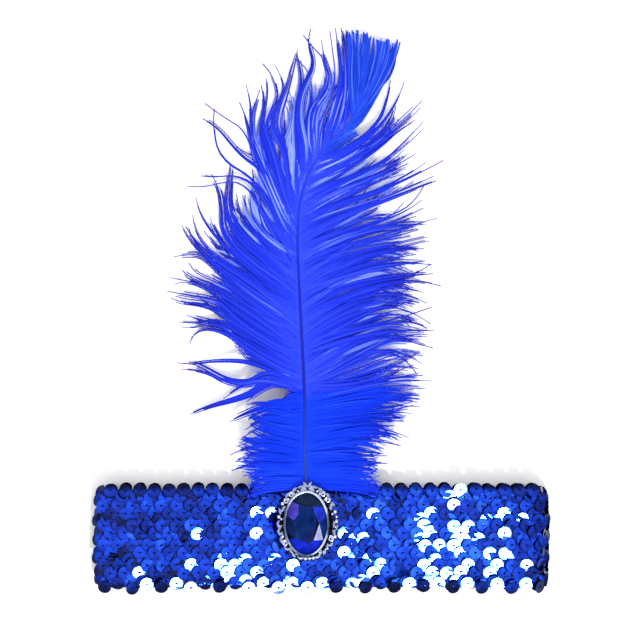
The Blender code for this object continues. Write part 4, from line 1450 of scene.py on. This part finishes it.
def wisp_line(side, root, places):
    """One smooth line from the quill through a wisp's places: a cubic between each two. Its
    direction at a place is the mean of the two chords', weighted so that the shorter one
    counts for more; it leaves the quill between the first chord and the barbs' own angle,
    and turns evenly past the last chord to its tip."""
    start = quill_at(np.array([pixel_xy(0.0, root)[1]]))[0, :2]
    knots = np.array([start, *(pixel_xy(*place) for place in places)])
    chords = np.diff(knots, axis=0)
    sizes = np.linalg.norm(chords, axis=1)[:, None]
    ahead = chords / sizes
    low = smooth_step((root - WISP_ROOT_ROWS[0]) / (WISP_ROOT_ROWS[1] - WISP_ROOT_ROWS[0]))
    angle = WISP_ROOT_ANGLES[0] + (WISP_ROOT_ANGLES[1] - WISP_ROOT_ANGLES[0]) * low
    quill = quill_at(start[1] + np.array([-0.001, 0.001]))
    quill = quill[1, :2] - quill[0, :2]
    angle = np.arctan2(quill[0], quill[1]) + side * np.radians(angle)
    leave = unit(ahead[:1] + np.array([[np.sin(angle), np.cos(angle)]]))
    inner = (ahead[:-1] * sizes[1:] + ahead[1:] * sizes[:-1]) / (sizes[1:] + sizes[:-1])
    turns = np.concatenate([leave, inner])
    turns = np.concatenate([turns, 2 * ahead[-1:] - turns[-1:]])
    length = np.concatenate([[0.0], np.cumsum(sizes)])
    reach = np.linspace(0, length[-1], WISP_STEPS + 1)
    i = np.clip(np.searchsorted(length, reach, side="right") - 1, 0, len(sizes) - 1)
    t = (reach - length[i]) / sizes[i, 0]
    return cubic(t, knots[i], knots[i + 1], turns[i] * sizes[i], turns[i + 1] * sizes[i])


def make_wisps(name, side, table, material, rng):
    """Locks that reach past the rest. A lock's barbs start on the quill side by side, swell
    apart and run together again towards its tip; the middle one reaches it and the others
    stop short, one after the other."""
    barbs = np.array([row[1] for row in table])
    lock = np.repeat(np.arange(len(table)), barbs)
    place = np.concatenate([np.arange(n) - (n - 1) / 2 for n in barbs])
    leading = np.concatenate([np.arange(n) == n // 2 for n in barbs])
    lines = np.stack([wisp_line(side, row[0], row[2:]) for row in table])[lock]
    ends = np.where(leading, 1.0, rng.uniform(*WISP_BARB["ends"], len(lock)))
    share = np.linspace(0, 1, WISP_STEPS + 1)
    at = share[None, :] * ends[:, None] * WISP_STEPS
    i = np.minimum(at.astype(int), WISP_STEPS - 1)
    f = (at - i)[..., None]
    rows = np.arange(len(lock))[:, None]
    flat = lines[rows, i] * (1 - f) + lines[rows, i + 1] * f
    along = unit(np.gradient(flat, axis=1))
    across = np.stack([along[..., 1], -along[..., 0]], axis=-1) * side
    wide, narrow = WISP_BARB["apart"]
    apart = (wide + (narrow - wide) * share**1.5) * smooth_step(share / WISP_BARB["swell"])
    stray = rng.normal(0, WISP_BARB["stray"], len(lock)) * ~leading
    aside = apart * place[:, None] + stray[:, None] * share**2
    flat = flat + across * aside[..., None]
    roots = flat[:, 0, 1]
    sizes = np.linalg.norm(np.diff(flat, axis=1), axis=2).sum(axis=1)
    paths = np.concatenate([flat, np.zeros((*flat.shape[:2], 1))], axis=-1)
    lift = rng.uniform(*WISP_BARB["lift"], len(lock))
    paths[:, :, 2] = droop(paths, roots, sizes, lift)
    tone = np.clip(rng.normal(*WISP_TONES, len(lock)), 0, 1)
    # Pale barbs: painted paleness for light through thin barbs
    chance = WISP_BARB["pale"][side] * smooth_step((roots - PALE_FROM) / PALE_OVER["wisp"])
    pale = (rng.random(len(lock)) < chance) & ~leading
    tone = np.where(pale, rng.uniform(*PALE_TONES["wisp"], len(lock)), tone)
    dry = rng.uniform(*DRY_TIPS["wisp"], len(lock))
    feathered(name, paths, WISP_BARB, tone, dry, material, rng)


def make_quill(material):
    """The shaft: a tapering tube along its route. A shallow groove runs down its upper face,
    deep as a bell curve of the angle from the top."""
    y = np.linspace(QUILL_ROUTE[0][1], QUILL_ROUTE[-1][1], QUILL_STEPS)
    path = quill_at(y)
    share = (y - y[0]) / (y[-1] - y[0])
    radius = QUILL_RADIUS + (QUILL_TIP_RADIUS - QUILL_RADIUS) * share
    turn = ring_angles(QUILL_SIDES)
    away = np.angle(np.exp(1j * (turn - np.pi / 2)))
    groove = 1.0 - GROOVE[0] * np.exp(-((away / GROOVE[1]) ** 2))
    level, upright = (np.cos(turn) * groove)[:, None], (np.sin(turn) * groove)[:, None]
    _, across, up = level_frame(path)
    ring = across[:, None] * level + up[:, None] * upright
    points = (path[:, None] + ring * radius[:, None, None]).reshape(-1, 3)
    base = (QUILL_STEPS - 1) * QUILL_SIDES
    fan = np.arange(1, QUILL_SIDES - 1)
    start = np.stack([np.zeros_like(fan), fan, fan + 1], axis=1)
    end = np.stack([np.full_like(fan, base), base + fan + 1, base + fan], axis=1)
    shape = {
        "points": points,
        "quads": grid_faces(QUILL_STEPS, QUILL_SIDES)[:, ::-1],
        "triangles": np.concatenate([start, end]),
        "values": {"shade": np.repeat(share, QUILL_SIDES)},
    }
    piece = add_piece("plume_quill", shape, material, smooth_below=60)
    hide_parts("plume")


def make_plume():
    """The quill, and on each side the vane, the down, the tuft and the wisps."""
    barbs = dyed_barbs("dyed_ostrich_barbs", "1222B0", "2034D4", "3248E4", "96ACFF")
    down = dyed_barbs("dyed_ostrich_down", "0C28BE", "1034DA", "163CE2", "2E50F0")
    tuft = dyed_barbs("dyed_ostrich_tip", "0A2AAC", "1A40CC", "264CDA", "5A78F2")
    make_quill(quill_horn())
    sides = (
        (-1, LEFT_LOCKS, LEFT_WISPS, LEFT_DOWN_WISPS, "left"),
        (1, RIGHT_LOCKS, RIGHT_WISPS, RIGHT_DOWN_WISPS, "right"),
    )
    stretches = (
        ("vane", VANE_BARB, barbs), ("down", DOWN_BARB, down), ("tuft", TUFT_BARB, tuft),
    )
    for side, locks, wisps, down_wisps, word in sides:
        rng = np.random.default_rng(7 + side)
        for name, barb, material in stretches:
            make_vane(f"{name}_{word}", side, word, locks, barb, material, rng)
        make_wisps(f"wisps_{word}", side, wisps, barbs, rng)
        make_wisps(f"down_wisps_{word}", side, down_wisps, down, rng)


# Brooch


def oval(middle, half, degrees):
    """X and Y of an oval at angles in degrees clockwise from +Y."""
    turn = np.radians(degrees)
    x, y = middle[0] + half[..., 0] * np.sin(turn), middle[1] + half[..., 1] * np.cos(turn)
    return np.stack([x, y], axis=-1)


def oval_ring(profile, sides, depths):
    """A closed profile, as distances out from the stone's girdle and heights above the
    setting's foot in millimetres, carried round the stone's oval."""
    profile = np.array(profile) * MM
    degrees = np.arange(sides) * 360.0 / sides
    flat = oval(STONE_MIDDLE, np.array(STONE_HALF) + profile[:, :1], degrees[:, None])
    height = np.broadcast_to(SETTING_FOOT + profile[:, 1], flat.shape[:2])
    return {
        "points": np.concatenate([flat, height[..., None]], axis=-1).reshape(-1, 3),
        "quads": grid_faces(sides, len(profile), wrap_rows=True)[:, ::-1],
        "values": {"depth": np.outer(np.interp(degrees, *zip(*BEZEL_BRIGHTNESS)), depths).ravel()},
    }


def lens(place, heading, length, width, height, ridge, steps=14, sides=16):
    """A leaf: its half width goes as the sine of the way along it to the power 0.75, and its
    upper face is drawn up to a ridge. With no ridge and equal sizes it is a bead."""
    u = np.linspace(0.0, 1.0, steps + 2)[1:-1]
    turn = ring_angles(sides)
    if ridge:
        along, swell = (u - 0.5) * length, np.sin(np.pi * u) ** 0.75
    else:
        along, swell = -np.cos(np.pi * u) * length / 2, np.sin(np.pi * u)
    up = np.sin(turn) * (1 + ridge * (1 - np.abs(np.cos(turn))) ** 2)
    a = np.broadcast_to(along[:, None], (steps, sides))
    b = swell[:, None] * np.cos(turn) * width / 2
    c = swell[:, None] * up * height / 2
    tips = np.array([(-length / 2, 0, 0), (length / 2, 0, 0)])
    points = np.concatenate([np.stack([a, b, c], axis=-1).reshape(-1, 3), tips])
    ahead = np.array((np.sin(heading), np.cos(heading), 0.0))
    aside = np.array((-np.cos(heading), np.sin(heading), 0.0))
    count = steps * sides
    return {
        "points": place + points @ np.stack([ahead, aside, UP]),
        "quads": grid_faces(steps, sides),
        "triangles": end_fans(sides, count - sides, count, count + 1),
        "values": {"depth": np.clip(0.5 + points[:, 2] / height, 0, 1)},
    }


def scroll(place, heading, hand):
    """A round wire wound inwards: its radius shrinks evenly over one and a third turns, and
    it ends in a ball."""
    share = np.linspace(0, 1, SCROLL_STEPS)
    turn = heading + hand * np.radians(SCROLL_TURNS[0] + SCROLL_TURNS[1] * share)
    radius = SCROLL_RADIUS * (1 - SCROLL_SHRINKING[0] * share)
    path = place + np.stack(
        [np.sin(turn) * radius, np.cos(turn) * radius, SCROLL_RISE * share], axis=-1
    )
    wire = tube(path, SCROLL_WIRE * (1 - SCROLL_SHRINKING[1] * share))
    depth = 0.5 + (wire["points"][:, 2] - place[2]) / (2 * SCROLL_WIRE)
    wire["values"] = {"depth": np.clip(depth, 0, 1)}
    top = path[-1] + UP * SCROLL_BALL_RISE
    return merged(wire, lens(top, 0.0, *[SCROLL_BALL] * 3, 0.0, steps=7, sides=10))


def make_setting(material):
    """Plate and bezel round the stone, with the border of leaves, scrolls and beads, each
    turned from the border's own direction, and the crest of two leaves on top."""
    profile = [(out, height) for out, height, _ in SETTING_WALL]
    depths = [depth for _, _, depth in SETTING_WALL]
    parts = [oval_ring(profile, SETTING_SIDES, depths)]
    middle = np.array((*BORDER_MIDDLE, SETTING_FOOT + BORDER_RISE))
    for degrees, out_by, ornament, turned in BORDER:
        half = np.array(BORDER_HALF) + out_by * MM
        place = np.array((*oval(BORDER_MIDDLE, half, degrees), middle[2] - BORDER_FALL * out_by))
        outward = (place - middle)[:2] / half**2
        heading = np.arctan2(outward[0], outward[1])
        if ornament == "scroll":
            parts.append(scroll(place, heading, 1 if degrees < 180 else -1))
        else:
            length, width, ridge = LENSES[ornament]
            along = heading + np.pi / 2 + np.radians(turned)
            parts.append(lens(place, along, length, width, width, ridge))
    for side in (-1, 1):
        spread = np.radians(side * CREST_SPREAD)
        reach = np.array((np.sin(spread), np.cos(spread), 0.0)) * CREST_SIZE[0] / 2
        foot = middle + np.array((0.0, BORDER_HALF[1], CREST_RISE))
        parts.append(lens(foot + reach, spread, *CREST_SIZE, CREST_SIZE[1], CREST_RIDGE))
    piece = add_piece("brooch_setting_cast", merged(*parts), material, smooth_below=50)
    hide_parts("brooch_setting")


def make_stone(material):
    """The cut stone: facets between named corners, whose height falls evenly from the table's
    edge to the girdle, over a closed base. Each facet is painted with the light and shade it
    shows, one of them a pale painted highlight."""
    names, clock = list(STONE_CORNERS), GIRDLE_PLACES
    turn = ring_angles(clock)
    rim = np.stack([np.sin(turn), np.cos(turn)], axis=-1)
    top = np.concatenate([np.array([STONE_CORNERS[name] for name in names]), rim])
    fall = np.clip((np.hypot(*top.T) - TABLE_SHARE) / (1 - TABLE_SHARE), 0, 1)
    heights = np.concatenate([
        GIRDLE_TOP + CROWN_HEIGHT * (1 - fall),
        np.full(clock, STONE_BOTTOM + PAVILION_RIM), np.full(clock, STONE_BOTTOM),
    ])
    flat = np.concatenate([top, rim, rim * PAVILION_SHARE])
    points = np.column_stack([flat * np.array(STONE_HALF) + np.array(STONE_MIDDLE), heights])
    number = {name: i for i, name in enumerate(names)}
    number.update({k: len(names) + k for k in range(clock)})
    first = len(names) + clock
    faces = [[number[corner] for corner in corners] for _, corners in STONE_FACETS]
    colours = [linear(colour) for colour, _ in STONE_FACETS]
    for k in range(clock):
        j = (k + 1) % clock
        faces.append([number[j], number[k], first + k, first + j])
        faces.append([first + j, first + k, first + clock + k, first + clock + j])
    faces.append([first + clock + k for k in range(clock)])
    colours += [linear(PAVILION_COLOUR)] * (len(faces) - len(colours))
    mesh = bpy.data.meshes.new("brooch_stone_cut")
    mesh.from_pydata(points.tolist(), [], faces)
    mesh.update()
    # Per-facet colours: painted reflections and a painted highlight
    painted_facet_light = mesh.attributes.new("painted_facet_light", "FLOAT_COLOR", "CORNER")
    shown = np.repeat(np.array(colours), [len(face) for face in faces], axis=0)
    painted_facet_light.data.foreach_set("color", shown.astype(np.float32).ravel())
    mesh.materials.append(material)
    stone = add_object("brooch_stone_cut", mesh)
    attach(stone, "root")
    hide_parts("brooch_stone")


# Stage


def make_camera():
    """Straight above the table; the longer lens keeps the picture's scale even."""
    data = bpy.data.cameras.new("camera")
    data.sensor_width = SENSOR
    data.lens = SENSOR * CAMERA_DISTANCE / (PHOTO_SIDE * PIXEL)
    data.clip_start, data.clip_end = CAMERA_CLIP
    camera = add_object("camera", data)
    camera.location = CAMERA_PLACE
    bpy.context.scene.camera = camera


def make_stage(material):
    """A white table, one small softbox low in the picture, and a white room, brightest
    overhead, with the dark camera in the middle of its ceiling."""
    corners = [(x, y, 0.0) for x, y in ((-1, -1), (1, -1), (1, 1), (-1, 1))]
    sheet = bpy.data.meshes.new("table")
    sheet.from_pydata((np.array(corners) * TABLE_HALF).tolist(), [], [(0, 1, 2, 3)])
    sheet.materials.append(material)
    add_object("table", sheet)
    data = bpy.data.lights.new("softbox", "AREA")
    data.shape, data.size, data.energy = "SQUARE", LAMP_SIDE, LAMP_WATTS
    lamp = add_object("softbox", data)
    lamp.location = LAMP_PLACE
    lamp.rotation_mode = "QUATERNION"
    lamp.rotation_quaternion = (-Vector(LAMP_PLACE)).to_track_quat("-Z", "Y")
    world = bpy.data.worlds.new("white_room")
    world.use_nodes = True
    bpy.context.scene.world = world
    tree = world.node_tree
    place = add_node(tree, "ShaderNodeTexCoord")
    height = add_node(tree, "ShaderNodeSeparateXYZ", {"Vector": (place, "Generated")})
    square = add_node(tree, "ShaderNodeMath", {0: (height, "Z")}, {1: 2.0}, operation="POWER")
    light = add_node(
        tree, "ShaderNodeMath", {0: (square, "Value")}, {1: ROOM_LIGHT[1], 2: ROOM_LIGHT[0]},
        operation="MULTIPLY_ADD",
    )
    hole = add_node(
        tree, "ShaderNodeMapRange", {"Value": (height, "Z")},
        dict(zip(("From Min", "From Max", "To Max"), CAMERA_SHADE), **{"To Min": 1.0}),
        interpolation_type="SMOOTHSTEP",
    )
    strength = add_node(
        tree, "ShaderNodeMath", {0: (light, "Value"), 1: (hole, "Result")}, operation="MULTIPLY"
    )
    back = tree.nodes["Background"]
    back.inputs["Color"].default_value = linear("FFFFFF")
    join(tree, back, {"Strength": (strength, "Value")})
    settings = bpy.context.scene.view_settings
    settings.view_transform, settings.look = "Standard", "None"


def main():
    """The stage first, then every piece from the band up."""
    make_camera()
    make_stage(white_paper())
    film, thread = sequin_film(), sewing_thread()
    make_knit(rib_knit())
    for row in range(1, ROWS + 1):
        make_sequins(row, film, thread, np.random.default_rng(40 + row))
    make_plume()
    make_setting(antiqued_silver())
    make_stone(foiled_glass())


main()
